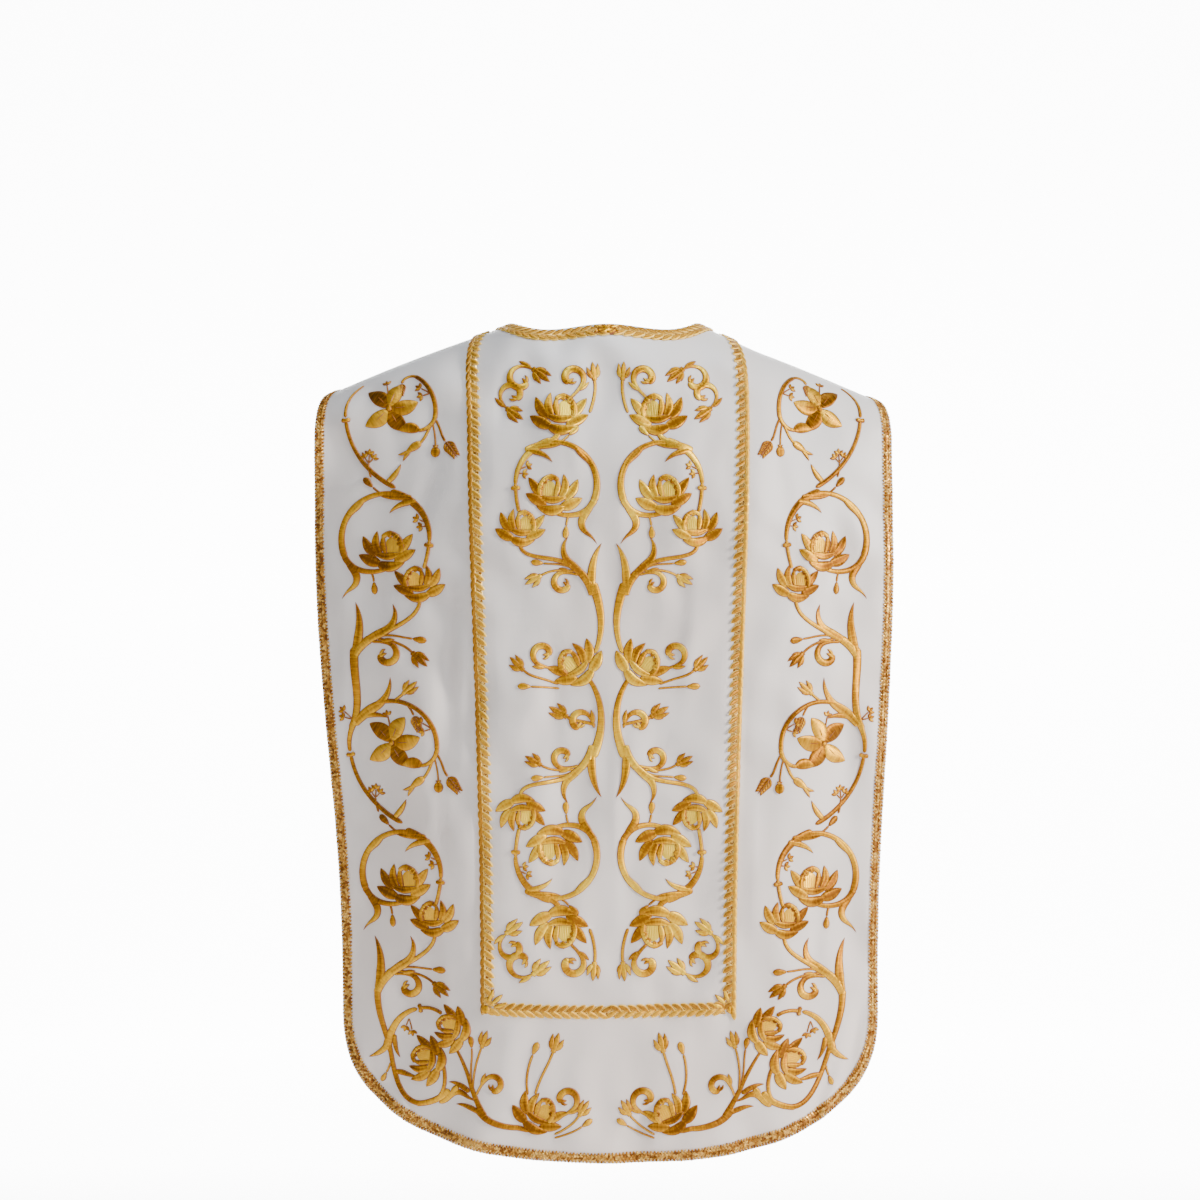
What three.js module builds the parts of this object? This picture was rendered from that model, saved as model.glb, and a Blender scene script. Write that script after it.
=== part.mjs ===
// Roman (fiddleback) chasuble as it hangs on a wearer who isn't there: a back panel and a narrower front
// panel of stiff lined cloth, joined by shoulder seams just in front of the ridge of the shoulders, open at
// the neck, under both arms and at the hem. A flat metal galloon binds every outer edge. A padded plait in
// gold thread runs round the neck and frames a column on the back and on the front.
//
// Millimetres, +Z up, +Y the way the wearer faces, +X to the wearer's right. The origin lies midway between
// the two side neck points, where the cloth rests on the wearer's shoulders.
//
// Each panel is drawn flat first, as it is cut: u runs across it from the centre line, and h is its height,
// which is the true height of the cloth wherever it hangs straight. drape() lays that pattern over the
// shoulders of a general figure, and everything sewn on a panel is made from the same call, moved out.

import * as THREE from "three";
import { mergeVertices } from "three/addons/utils/BufferGeometryUtils.js";

// ---- driving sizes ----
const SHOULDER_HALF = 350; // half the width over the shoulders
const HEM_NARROWING = 0.076; // share of its width that the back loses towards the hem
const BACK_HEM_Z = -1002; // lowest point of the back
const BACK_HEM_RISE = 170; // height over which the back's hem rounds into its sides
const FRONT_HEM_Z = -940;
const FRONT_HEM_RISE = 150;
const HEM_ROUNDNESS = 2.5; // exponent of the hem's superellipse
const CHEST_HALF = 226; // half the front's width between the arms
const FRONT_FLARE = 40; // how much wider each side of the front is at its hem
const ARMHOLE_DROP = 85; // how quickly the armhole curves in from the shoulder

const NECK_HALF = 138; // neck opening, half its width in the cut
const NECK_BACK = 76; // its depth behind the ridge of the shoulders, along the cloth
const NECK_FRONT = 165; // its depth in front of it
const NECK_ROUNDNESS = 4; // exponent of its two curves, which meet at the seams

const CLOTH = 2.4; // silk, interlining and lining together
const SEAM_GAP = 0.3;
const SHOULDER_SEAM = 12; // the seam lies this far in front of the ridge
const TRIM_LIFT = 0.95; // sewn-on trims clear the facets of the cloth below them

// Trims: the inset is from the cloth's edge, and the underside touches the cloth at shares of the width.
const GALLOON = { width: 11, height: 1.3, inset: 0.8, underside: [-0.5, 0, 0.5] };
const PLAIT = { width: 14.5, height: 2, inset: 0, underside: [-0.5, 0.5] };
const NECK_PLAIT = { width: 16.5, height: 2.2, inset: 2.5, underside: [-0.5, -0.25, 0, 0.25, 0.5] };
const COLUMN_HALF = 165; // centre line of the plait that frames the back's column, at the shoulder
const COLUMN_NARROWING = 20; // how much nearer the centre line it stands at its foot
const COLUMN_FOOT_Z = -819;
const FOOT_GAP = 1.6; // between the foot of the column and its two lines
const FOOT_BOW = 4; // how far the middle of the foot hangs below its ends
const FRONT_COLUMN_HALF = 118; // the front's lines draw in to this below the neck
const FRONT_FOOT_Z = -765;

// ---- the figure under the cloth ----
const SHOULDER_SLOPE = 0.5; // of the ridge line, at its outer end
const SLOPE_ROUNDING = 180; // length that rounds the two slopes into one ridge line
const LOW_SHOULDER = 8; // the right shoulder is this much lower
const NAPE = { rise: 13, width: 85 }; // the cloth stands up a little at the nape
const INWARD_TURN = 18; // the grain turns this far towards the neck as it crosses the ridge
const NECK_SHIFT = -4.5; // the neck sits this far to the left of the column's axis
const EDGE_SHIFT = { shoulder: -2.1, side: -6.6, hem: 1 }; // and the side edges this far, down the back
const BACK = {
  bend: 85, // radius over the shoulder at the centre line
  tipBend: 60, // and at the shoulder tip
  reach: 145, // how far behind the ridge the cloth hangs
  swell: 260, // length over which the shoulder blades push it out
  flat: [140, 182], // half width that hangs flat, left and right of the centre
  wing: [0.42, 0.4], // slope of the two sides beyond it
  lean: 12, // how far it hangs back in towards its hem
};
const FRONT = {
  bend: 75,
  tipBend: 55,
  reach: 135,
  swell: 220,
  flat: [105, 105],
  wing: [0.3, 0.3],
  lean: 22,
};

// Soft creases: u and h of the top, length, how far the foot drifts across, width and depth (a trough is
// negative).
const BACK_CREASES = [
  { u: -178, top: -250, length: 330, drift: -8, width: 26, depth: -5 },
  { u: -226, top: -180, length: 560, drift: 12, width: 38, depth: 4 },
  { u: -300, top: -420, length: 420, drift: 22, width: 34, depth: -4.5 },
  { u: 212, top: -240, length: 640, drift: -14, width: 36, depth: 5 },
  { u: 262, top: -150, length: 300, drift: 34, width: 30, depth: -5.5 },
  { u: 292, top: -430, length: 380, drift: -18, width: 30, depth: -4.5 },
  { u: 322, top: -330, length: 560, drift: -6, width: 22, depth: 4.5 },
  { u: -90, top: -640, length: 350, drift: -22, width: 44, depth: 4 },
  { u: 84, top: -560, length: 430, drift: 20, width: 46, depth: -3.5 },
  { u: 14, top: -60, length: 150, drift: 10, width: 40, depth: -4 },
  { u: 236, top: -800, length: 190, drift: 26, width: 30, depth: -5 },
  { u: -242, top: -770, length: 220, drift: -18, width: 32, depth: -4.5 },
];
const FRONT_CREASES = [
  { u: -150, top: -180, length: 520, drift: -16, width: 30, depth: -5 },
  { u: 142, top: -230, length: 470, drift: 20, width: 32, depth: -5.5 },
  { u: -62, top: -420, length: 500, drift: -26, width: 44, depth: 5 },
  { u: 48, top: -330, length: 590, drift: 22, width: 42, depth: 4 },
  { u: -205, top: -480, length: 380, drift: -8, width: 26, depth: 5 },
  { u: 212, top: -520, length: 330, drift: 8, width: 26, depth: 4.5 },
  { u: 4, top: -180, length: 190, drift: -6, width: 36, depth: -4 },
];

// ---- mesh fineness ----
const NECK_COLUMNS = 6; // from the centre line to the side of the neck
const SIDE_COLUMNS = 9; // from there to the edge
const PANEL_ROWS = 30;
const ROW_BIAS = 1.35; // rows crowd towards the shoulder
const NECK_CROWDING = 1.5; // columns crowd towards the side of the neck
const SIDE_CROWDING = 1.7; // and crowd towards the edge, where the hem rounds
const PATH_STEP = 3; // spacing of the places along a trim before it is thinned
const FACET_TOLERANCE = 0.25; // how far a trim's chord may leave the facets it follows

const GOLD_THREAD = new THREE.MeshStandardMaterial({ color: 0xc8963c, roughness: 0.45, metalness: 0.5 });
const GOLD_BRAID = new THREE.MeshStandardMaterial({ color: 0xb98a4e, roughness: 0.4, metalness: 0.6 });
const IVORY_SILK = new THREE.MeshStandardMaterial({ color: 0xe6e1dc, roughness: 0.55, metalness: 0 });

const clamp01 = (x) => Math.min(1, Math.max(0, x));
const smooth = (x) => clamp01(x) ** 2 * (3 - 2 * clamp01(x));
const softplus = (x) => Math.log(1 + Math.exp(x));

// ---- the drape ----

/** How far the grain at u has turned in towards the neck where it crosses the ridge. */
function inwardTurn(u) {
  return INWARD_TURN * smooth(Math.abs(u) / NECK_HALF) * Math.sign(u);
}

/** Height of the shoulder ridge above the side neck points, where the grain at u crosses it. */
function ridge(u) {
  const neckSide = NECK_HALF - INWARD_TURN;
  const profile = (x) =>
    NAPE.rise * Math.exp(-((x / NAPE.width) ** 2)) - SHOULDER_SLOPE * Math.hypot(x, SLOPE_ROUNDING);
  const x = u - inwardTurn(u);
  return profile(x) - profile(neckSide) - LOW_SHOULDER * smooth((x - 100) / 90);
}

/** Radius with which a side bends over the shoulder, at u. */
function bendRadius(side, u) {
  return side.tipBend + (side.bend - side.tipBend) * (1 - (u / SHOULDER_HALF) ** 2);
}

/** Height in the flat pattern at which a side crosses the ridge, at u. */
function ridgeInPattern(side, u) {
  return ridge(u) + bendRadius(side, u) * (Math.PI / 2 - 1);
}

/** How far the side's wings have swung in at u, beyond the part that hangs flat. */
function wingDrop(side, u) {
  const hand = u < 0 ? 0 : 1;
  const softness = 26;
  return side.wing[hand] * softness * softplus((Math.abs(u) - side.flat[hand]) / softness);
}

/** Sum of the soft creases at a place on a side's flat pattern. */
function creaseDepth(creases, u, h) {
  let sum = 0;
  for (const c of creases) {
    const along = (c.top - h) / c.length;
    if (along <= 0 || along >= 1) continue;
    const across = (u - c.u - c.drift * along) / c.width;
    sum += c.depth * Math.exp(-across * across) * Math.sin(Math.PI * along) ** 1.5;
  }
  return sum;
}

/** Sideways shift of the cloth at u, at a distance from the ridge: it never hangs quite square. */
function shift(u, run) {
  const neck = NECK_SHIFT * (1 - smooth(run / 170));
  const reached = EDGE_SHIFT.shoulder + (EDGE_SHIFT.side - EDGE_SHIFT.shoulder) * smooth(run / 170);
  const edge = reached + (EDGE_SHIFT.hem - reached) * smooth((run - 170) / 650);
  return neck + edge * smooth((Math.abs(u) - 165) / 150);
}

/**
 * Where the cloth's outer face lies, unlifted. v is the distance along the cloth from the ridge of the
 * shoulders, positive down the back and negative down the front.
 */
function clothPoint(u, v) {
  const side = v >= 0 ? BACK : FRONT;
  const creases = v >= 0 ? BACK_CREASES : FRONT_CREASES;
  const run = Math.abs(v);
  const radius = bendRadius(side, u);
  const arc = (radius * Math.PI) / 2;
  const turn = Math.min(run / radius, Math.PI / 2);
  const fall = radius * (1 - Math.cos(turn)) + Math.max(0, run - arc);
  const h = ridgeInPattern(side, u) - run;
  const swell = (side.reach - radius - wingDrop(side, u)) * smooth((run - 0.4 * radius) / side.swell);
  const lean = side.lean * smooth((run - 260) / 700);
  const out = radius * Math.sin(turn) + swell - lean + creaseDepth(creases, u, h);
  const inward = inwardTurn(u) * clamp01(1 - run / arc) ** 2.5;
  return new THREE.Vector3(u - inward + shift(u, run), v >= 0 ? -out : out, ridge(u) - fall);
}

/** A point on the cloth at (u, v), moved out along the cloth's normal by lift. */
function drape(u, v, lift = 0) {
  const step = 0.5;
  const across = clothPoint(u + step, v).sub(clothPoint(u - step, v));
  const down = clothPoint(u, v + step).sub(clothPoint(u, v - step));
  const normal = down.cross(across).normalize();
  return clothPoint(u, v).addScaledVector(normal, lift);
}

// ---- the cut ----

/** Half width of the back panel at a distance from the ridge. */
function backHalf(run) {
  return SHOULDER_HALF * (1 - HEM_NARROWING * smooth((run - 210) / 530));
}

/** Half width of the front panel: scooped for the arms, then slightly flared. */
function frontHalf(run) {
  const scoop = Math.exp(-((Math.max(0, run - SHOULDER_SEAM) / ARMHOLE_DROP) ** 2));
  return CHEST_HALF + (SHOULDER_HALF - CHEST_HALF) * scoop + FRONT_FLARE * smooth((run - 250) / 560);
}

const PANELS = {
  back: { side: BACK, facing: 1, half: backHalf, neck: NECK_BACK, hemZ: BACK_HEM_Z, rise: BACK_HEM_RISE },
  front: { side: FRONT, facing: -1, half: frontHalf, neck: NECK_FRONT, hemZ: FRONT_HEM_Z, rise: FRONT_HEM_RISE },
};

/** Height of a panel's hem at t, from -1 at its left edge to 1 at its right edge. */
function hemHeight(panel, t) {
  const fullness = Math.max(0, 1 - Math.abs(t) ** HEM_ROUNDNESS) ** (1 / HEM_ROUNDNESS);
  return panel.hemZ + panel.rise * (1 - fullness);
}

/** Distance from the ridge of a panel's hem at t. */
function hemRun(panel, t) {
  return ridgeInPattern(panel.side, t * panel.half(Infinity)) - hemHeight(panel, t);
}

/** Distance from the ridge of a panel's top edge at t: the neck curve, or the shoulder seam beside it. */
function topRun(panel, t) {
  const share = Math.min(1, (Math.abs(t) * SHOULDER_HALF) / NECK_HALF);
  const seam = SEAM_GAP / 2 - panel.facing * SHOULDER_SEAM;
  return seam + (panel.neck - seam) * (1 - share ** NECK_ROUNDNESS);
}

/** The columns of a panel's grid: even steps round the neck, then closer and closer to the edge. */
function columnShares() {
  const neckShare = NECK_HALF / SHOULDER_HALF;
  const right = [];
  for (let i = 1; i <= NECK_COLUMNS; i++) {
    right.push(neckShare * (1 - (1 - i / NECK_COLUMNS) ** NECK_CROWDING));
  }
  for (let i = 1; i <= SIDE_COLUMNS; i++) {
    right.push(1 - (1 - neckShare) * (1 - i / SIDE_COLUMNS) ** SIDE_CROWDING);
  }
  return [...right.map((t) => -t).reverse(), 0, ...right];
}

/** A panel's grid: its columns, and what share of the way down each of its rows lies. */
const COLUMNS = columnShares();
const ROWS = Array.from({ length: PANEL_ROWS + 1 }, (_, i) => (i / PANEL_ROWS) ** ROW_BIAS);

/** The grid point of a panel in row i and column j, moved out by lift. */
function gridPoint(panel, i, j, lift) {
  const t = COLUMNS[j];
  const run = THREE.MathUtils.lerp(topRun(panel, t), hemRun(panel, t), ROWS[i]);
  return drape(t * panel.half(run), panel.facing * run, lift);
}

/** The cell of a rising list that holds x, and how far through that cell x lies. */
function cellOf(list, x) {
  let k = 0;
  while (k + 2 < list.length && list[k + 1] <= x) k++;
  return [k, clamp01((x - list[k]) / (list[k + 1] - list[k]))];
}

/** The point of a panel's faceted outer face at u and a distance from the ridge, moved out by lift. */
function onFacet(panel, u, run, lift) {
  const t = Math.max(-1, Math.min(1, u / panel.half(run)));
  const [j, x] = cellOf(COLUMNS, t);
  const top = THREE.MathUtils.lerp(topRun(panel, COLUMNS[j]), topRun(panel, COLUMNS[j + 1]), x);
  const hem = THREE.MathUtils.lerp(hemRun(panel, COLUMNS[j]), hemRun(panel, COLUMNS[j + 1]), x);
  const [i, y] = cellOf(ROWS, clamp01((run - top) / (hem - top)));
  const from = gridPoint(panel, i, j, 0);
  const across = gridPoint(panel, i + 1, j + 1, 0);
  const corner = y >= x ? gridPoint(panel, i + 1, j, 0) : gridPoint(panel, i, j + 1, 0);
  const [first, second] = y >= x ? [y, x] : [x, y];
  const place = from.clone().lerp(corner, first).addScaledVector(across.sub(corner), second);
  const facing = panel.facing * run;
  return place.add(drape(u, facing, lift).sub(clothPoint(u, facing)));
}

// ---- closed meshes ----

/**
 * A closed solid between two equal grids of points: an outer face, an inner face and the walls round them.
 * pointAt(i, j, face) gives a point, where face is 0 for the outer one and 1 for the inner one.
 */
function slab(rows, columns, pointAt) {
  const points = [];
  for (const face of [0, 1]) {
    for (let i = 0; i < rows; i++) {
      for (let j = 0; j < columns; j++) points.push(pointAt(i, j, face));
    }
  }
  const id = (i, j, face) => face * rows * columns + i * columns + j;
  const index = [];
  const quad = (a, b, c, d) => index.push(a, b, c, a, c, d);
  for (let i = 0; i + 1 < rows; i++) {
    for (let j = 0; j + 1 < columns; j++) {
      quad(id(i, j, 0), id(i + 1, j, 0), id(i + 1, j + 1, 0), id(i, j + 1, 0));
      quad(id(i, j, 1), id(i, j + 1, 1), id(i + 1, j + 1, 1), id(i + 1, j, 1));
    }
    quad(id(i, 0, 0), id(i, 0, 1), id(i + 1, 0, 1), id(i + 1, 0, 0));
    const last = columns - 1;
    quad(id(i, last, 0), id(i + 1, last, 0), id(i + 1, last, 1), id(i, last, 1));
  }
  for (let j = 0; j + 1 < columns; j++) {
    quad(id(0, j, 0), id(0, j + 1, 0), id(0, j + 1, 1), id(0, j, 1));
    const last = rows - 1;
    quad(id(last, j, 0), id(last, j, 1), id(last, j + 1, 1), id(last, j + 1, 0));
  }
  return outwards(closedGeometry(points, index));
}

/** A closed bar, or ring, whose section, a ring of points, is given at each of its steps. */
function bar(sections, ring = false) {
  const sides = sections[0].length;
  const points = sections.flat();
  const count = points.length;
  const index = [];
  for (let i = 0; i + (ring ? 0 : 1) < sections.length; i++) {
    for (let k = 0; k < sides; k++) {
      const a = i * sides + k;
      const b = i * sides + ((k + 1) % sides);
      index.push(a, b, (b + sides) % count, a, (b + sides) % count, (a + sides) % count);
    }
  }
  const end = count - sides;
  for (let k = 1; k + 1 < sides && !ring; k++) {
    index.push(0, k + 1, k, end, end + k, end + k + 1);
  }
  return outwards(closedGeometry(points, index));
}

function closedGeometry(points, index) {
  const geometry = new THREE.BufferGeometry().setFromPoints(points);
  geometry.setIndex(index);
  return mergeVertices(geometry, 1e-3);
}

/** Turns a closed geometry's faces out, whichever way its points ran. */
function outwards(geometry) {
  const position = geometry.getAttribute("position");
  const order = geometry.index.array;
  const [a, b, c] = [new THREE.Vector3(), new THREE.Vector3(), new THREE.Vector3()];
  let volume = 0;
  for (let i = 0; i < order.length; i += 3) {
    a.fromBufferAttribute(position, order[i]);
    b.fromBufferAttribute(position, order[i + 1]);
    c.fromBufferAttribute(position, order[i + 2]);
    volume += a.dot(b.cross(c));
  }
  if (volume < 0) {
    for (let i = 0; i < order.length; i += 3) [order[i + 1], order[i + 2]] = [order[i + 2], order[i + 1]];
  }
  return geometry;
}

function node(name, geometry, material) {
  const mesh = new THREE.Mesh(geometry, material);
  mesh.name = name;
  return mesh;
}

// ---- pieces ----

/** A cloth panel: one grid from its neck and shoulder seam to its hem. */
function panelGeometry(panel) {
  return slab(ROWS.length, COLUMNS.length, (i, j, face) => gridPoint(panel, i, j, face ? -CLOTH : 0));
}

/** Places a trim's point on whichever panel lies there. v is signed as in clothPoint. */
function onCloth(u, v, lift) {
  return v > -SHOULDER_SEAM ? onFacet(PANELS.back, u, v, lift) : onFacet(PANELS.front, u, -v, lift);
}

/** The section of a trim at a place on its path: a low crown over an underside that follows the cloth. */
function crown(place, trim) {
  const outline = [
    ...trim.underside.map((across) => ({ across, up: 0 })),
    { across: 0.42, up: 0.75 },
    { across: 0, up: 1 },
    { across: -0.42, up: 0.75 },
  ];
  return outline.map((c) =>
    onCloth(
      place.u + place.acrossU * c.across * trim.width,
      place.v + place.acrossV * c.across * trim.width,
      TRIM_LIFT + c.up * trim.height,
    ),
  );
}

/** Gives each place of a path the direction across it. */
function withAcross(path, closed) {
  const at = (i) => path[closed ? (i + path.length) % path.length : Math.max(0, Math.min(path.length - 1, i))];
  return path.map((place, i) => {
    const [before, after] = [at(i - 1), at(i + 1)];
    const length = Math.hypot(after.u - before.u, after.v - before.v);
    return { ...place, acrossU: (before.v - after.v) / length, acrossV: (after.u - before.u) / length };
  });
}

/** The sections that a trim needs, so that no corner of its underside strays far from its chords. */
function neededSections(sections, first, last, corners) {
  let worst = 0;
  let at = 0;
  const chord = new THREE.Line3();
  const foot = new THREE.Vector3();
  for (let i = first + 1; i < last; i++) {
    for (let k = 0; k < corners; k++) {
      chord.set(sections[first][k], sections[last][k]).closestPointToPoint(sections[i][k], true, foot);
      const away = foot.distanceTo(sections[i][k]);
      if (away > worst) [worst, at] = [away, i];
    }
  }
  if (worst <= FACET_TOLERANCE) return [sections[first]];
  return [...neededSections(sections, first, at, corners), ...neededSections(sections, at, last, corners)];
}

/** A trim sewn along a path of {u, v} places a few millimetres apart. */
function trimGeometry(path, trim, closed = false) {
  const sections = withAcross(path, closed).map((place) => crown(place, trim));
  if (closed) sections.push(sections[0]);
  const kept = neededSections(sections, 0, sections.length - 1, trim.underside.length);
  return bar(closed ? kept : [...kept, sections[sections.length - 1]], closed);
}

/** Places from one number to another, about PATH_STEP apart, mapped by a function. */
function walk(from, to, place) {
  const steps = Math.ceil(Math.abs(to - from) / PATH_STEP);
  return Array.from({ length: steps + 1 }, (_, i) => place(from + ((to - from) * i) / steps));
}

/** A closed path, laid out again with its places a step apart and its sharp turns eased. */
function evenly(path, step) {
  const curve = new THREE.CatmullRomCurve3(
    path.map((place) => new THREE.Vector3(place.u, place.v, 0)),
    true,
  );
  const count = Math.round(curve.getLength() / step);
  const places = curve.getSpacedPoints(count).slice(0, count);
  const near = [-3, -2, -1, 0, 1, 2, 3];
  return places.map((_, i) => {
    const sum = near.reduce((total, k) => total.add(places[(i + k + count) % count]), new THREE.Vector3());
    return { u: sum.x / near.length, v: sum.y / near.length };
  });
}

/** A panel's outer edge in its cut, from the right shoulder seam round the hem to the left one. */
function edgePath(panel) {
  const half = panel.half(Infinity);
  const sideEnd = hemRun(panel, 1);
  const side = (hand) => (run) => ({ u: hand * panel.half(run), run });
  const hem = (angle) => {
    const u = half * Math.sign(Math.cos(angle)) * Math.abs(Math.cos(angle)) ** (2 / HEM_ROUNDNESS);
    const height = panel.hemZ + panel.rise * (1 - Math.sin(angle) ** (2 / HEM_ROUNDNESS));
    return { u, run: ridgeInPattern(panel.side, u) - height };
  };
  const top = SHOULDER_SEAM * -panel.facing + SEAM_GAP / 2;
  const steps = Math.round((half * 2.4) / PATH_STEP);
  const round = Array.from({ length: steps - 1 }, (_, i) => hem(((i + 1) * Math.PI) / steps));
  return [...walk(top, sideEnd, side(1)), ...round, ...walk(hemRun(panel, -1), top, side(-1))];
}

/** The galloon that binds a panel's outer edge. */
function galloonGeometry(panel) {
  const inset = GALLOON.inset + GALLOON.width / 2;
  const edge = edgePath(panel).map(({ u, run }) => ({ u, v: panel.facing * run }));
  const path = withAcross(edge, false).map((place) => ({
    u: place.u + panel.facing * place.acrossU * inset,
    v: place.v + panel.facing * place.acrossV * inset,
  }));
  for (const end of [path[0], path[path.length - 1]]) {
    end.v = -SHOULDER_SEAM + panel.facing;
  }
  return trimGeometry(path, GALLOON);
}

/** Where the plait lines of the column lie at v: hand is -1 for the left one and 1 for the right one. */
function columnLine(hand, v) {
  if (v >= 0) return hand * (COLUMN_HALF - COLUMN_NARROWING * smooth((v + 60) / 900));
  const drawnIn = 1 - Math.exp(-((-v / 140) ** 3));
  return hand * (COLUMN_HALF + (FRONT_COLUMN_HALF - COLUMN_HALF) * drawnIn);
}

/** Distance from the ridge of a column's foot at u. */
function footRun(panel, footZ, u) {
  const half = Math.abs(columnLine(1, panel.facing * -footZ));
  return ridgeInPattern(panel.side, u) - footZ + FOOT_BOW * (1 - (u / half) ** 2);
}

/** One plait line, from the foot of the back's column over the shoulder to the foot of the front's. */
function plaitLineGeometry(hand) {
  const below = PLAIT.width / 2;
  const back = footRun(PANELS.back, COLUMN_FOOT_Z, columnLine(hand, -COLUMN_FOOT_Z)) + below;
  const front = footRun(PANELS.front, FRONT_FOOT_Z, columnLine(hand, FRONT_FOOT_Z)) + below;
  return trimGeometry(walk(back, -front, (v) => ({ u: columnLine(hand, v), v })), PLAIT);
}

/** The plait across the foot of a panel's column, between its two lines. */
function plaitFootGeometry(panel, footZ) {
  const line = Math.abs(columnLine(1, panel.facing * footRun(panel, footZ, 0)));
  const end = line - PLAIT.width / 2 - FOOT_GAP;
  const path = walk(-end, end, (u) => ({ u, v: panel.facing * footRun(panel, footZ, u) }));
  return trimGeometry(path, PLAIT);
}

/** Half of the neck's edge, on one panel, moved out, from left to right. */
function neckCurve(panel, out) {
  const steps = Math.round((NECK_HALF * Math.PI) / PATH_STEP);
  const depth = panel.neck + panel.facing * SHOULDER_SEAM;
  return Array.from({ length: steps }, (_, i) => {
    const angle = ((i + 0.5) / steps - 0.5) * Math.PI;
    const u = NECK_HALF * Math.sign(angle) * Math.abs(Math.sin(angle)) ** (2 / NECK_ROUNDNESS);
    const share = Math.cos(angle) ** 2;
    const growth = out * Math.abs(Math.sin(angle));
    return {
      u: u + growth * Math.sign(angle),
      v: panel.facing * (depth * share + out * Math.cos(angle)) - SHOULDER_SEAM,
    };
  });
}

/** The plait round the neck, in one ring over both panels. */
function neckPlaitGeometry() {
  const out = NECK_PLAIT.inset + NECK_PLAIT.width / 2;
  const path = [...neckCurve(PANELS.back, out), ...neckCurve(PANELS.front, out).reverse()];
  return trimGeometry(evenly(path, PATH_STEP), NECK_PLAIT, true);
}

const chasuble = new THREE.Group();
chasuble.name = "roman_chasuble";
chasuble.add(node("back_panel", panelGeometry(PANELS.back), IVORY_SILK));
chasuble.add(node("front_panel", panelGeometry(PANELS.front), IVORY_SILK));
chasuble.add(node("galloon_back", galloonGeometry(PANELS.back), GOLD_BRAID));
chasuble.add(node("galloon_front", galloonGeometry(PANELS.front), GOLD_BRAID));
chasuble.add(node("plait_line_left", plaitLineGeometry(-1), GOLD_THREAD));
chasuble.add(node("plait_line_right", plaitLineGeometry(1), GOLD_THREAD));
chasuble.add(node("plait_foot_back", plaitFootGeometry(PANELS.back, COLUMN_FOOT_Z), GOLD_THREAD));
chasuble.add(node("plait_foot_front", plaitFootGeometry(PANELS.front, FRONT_FOOT_Z), GOLD_THREAD));
chasuble.add(node("plait_neck", neckPlaitGeometry(), GOLD_THREAD));

export default chasuble;
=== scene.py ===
"""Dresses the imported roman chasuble: silk shells, gold plaits, galloon and padded gold embroidery.

Sizes are in millimetres where a name or comment says nothing else, and every mesh is made in metres in the
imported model's frame: +Z up, +Y the way the wearer faces, the origin between the side neck points. A place on
the cloth is (u, v): u runs across the cut from its centre line, and v is the distance along the cloth from
the ridge of the shoulders, positive down the back and negative down the front.
"""

from __future__ import annotations

import logging
import math
from dataclasses import dataclass, field, replace
from enum import Enum
from typing import Callable, Iterable, Sequence

import bpy
import numpy as np
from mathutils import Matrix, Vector

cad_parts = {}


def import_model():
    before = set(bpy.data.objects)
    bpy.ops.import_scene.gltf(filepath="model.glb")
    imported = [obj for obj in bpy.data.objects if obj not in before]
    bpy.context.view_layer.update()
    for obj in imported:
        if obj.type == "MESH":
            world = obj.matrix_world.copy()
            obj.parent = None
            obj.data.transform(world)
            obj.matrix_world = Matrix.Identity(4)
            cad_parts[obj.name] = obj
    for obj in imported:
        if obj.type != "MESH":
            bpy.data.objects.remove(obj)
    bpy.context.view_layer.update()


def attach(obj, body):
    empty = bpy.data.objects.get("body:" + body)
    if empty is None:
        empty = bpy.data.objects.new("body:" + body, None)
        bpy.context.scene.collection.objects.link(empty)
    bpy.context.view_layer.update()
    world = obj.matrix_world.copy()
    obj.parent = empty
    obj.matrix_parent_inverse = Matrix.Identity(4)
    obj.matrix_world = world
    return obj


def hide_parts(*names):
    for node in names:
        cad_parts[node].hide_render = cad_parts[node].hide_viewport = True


LOG = logging.getLogger("roman_chasuble")
MM = 0.001
Array = np.ndarray
Point = tuple[float, float]


def smooth(x: Array | float) -> Array | float:
    """Eases from 0 to 1 as x does."""
    x = np.clip(x, 0.0, 1.0)
    return x * x * (3 - 2 * x)


# ---- the drape of the cloth ----


@dataclass(frozen=True)
class Crease:
    """A soft ridge or trough, placed on a side's flat pattern."""

    u: float
    top: float
    length: float
    drift: float
    width: float
    depth: float

    def depth_at(self, u: Array, height: Array) -> Array:
        """How far the crease moves the cloth out.

        Args:
            u: Places across the pattern.
            height: Heights in the flat pattern.

        Returns:
            The movement at each place, negative in a trough.
        """
        along = (self.top - height) / self.length
        across = (u - self.u - self.drift * along) / self.width
        reach = np.sin(np.pi * np.clip(along, 0, 1)) ** 1.5
        return self.depth * np.exp(-across * across) * reach


@dataclass(frozen=True)
class Slack:
    """One slow wave of the uneven slack that silk keeps between its seams."""

    length: float
    lean: float
    start: float
    depth: float

    def depth_at(self, u: Array, height: Array) -> Array:
        """How far the wave moves the cloth out."""
        turn = math.radians(self.lean)
        along = u * math.cos(turn) + height * math.sin(turn)
        across = height * math.cos(turn) - u * math.sin(turn)
        waves = 2 * math.pi / self.length
        bend = 0.9 * np.sin(across * waves * 0.37 + 2.1 * self.start)
        reach = 0.5 + 0.5 * np.sin(across * waves * 0.23 + along * waves * 0.11 + 5 * self.start)
        return self.depth * np.sin(along * waves + bend + self.start) * reach


SLACK = (
    Slack(118, 12, 0.4, 2.4),
    Slack(86, -24, 1.9, 1.9),
    Slack(61, 34, 3.1, 1.2),
    Slack(45, -9, 4.6, 0.85),
    Slack(73, 70, 0.9, 0.9),
)


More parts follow.
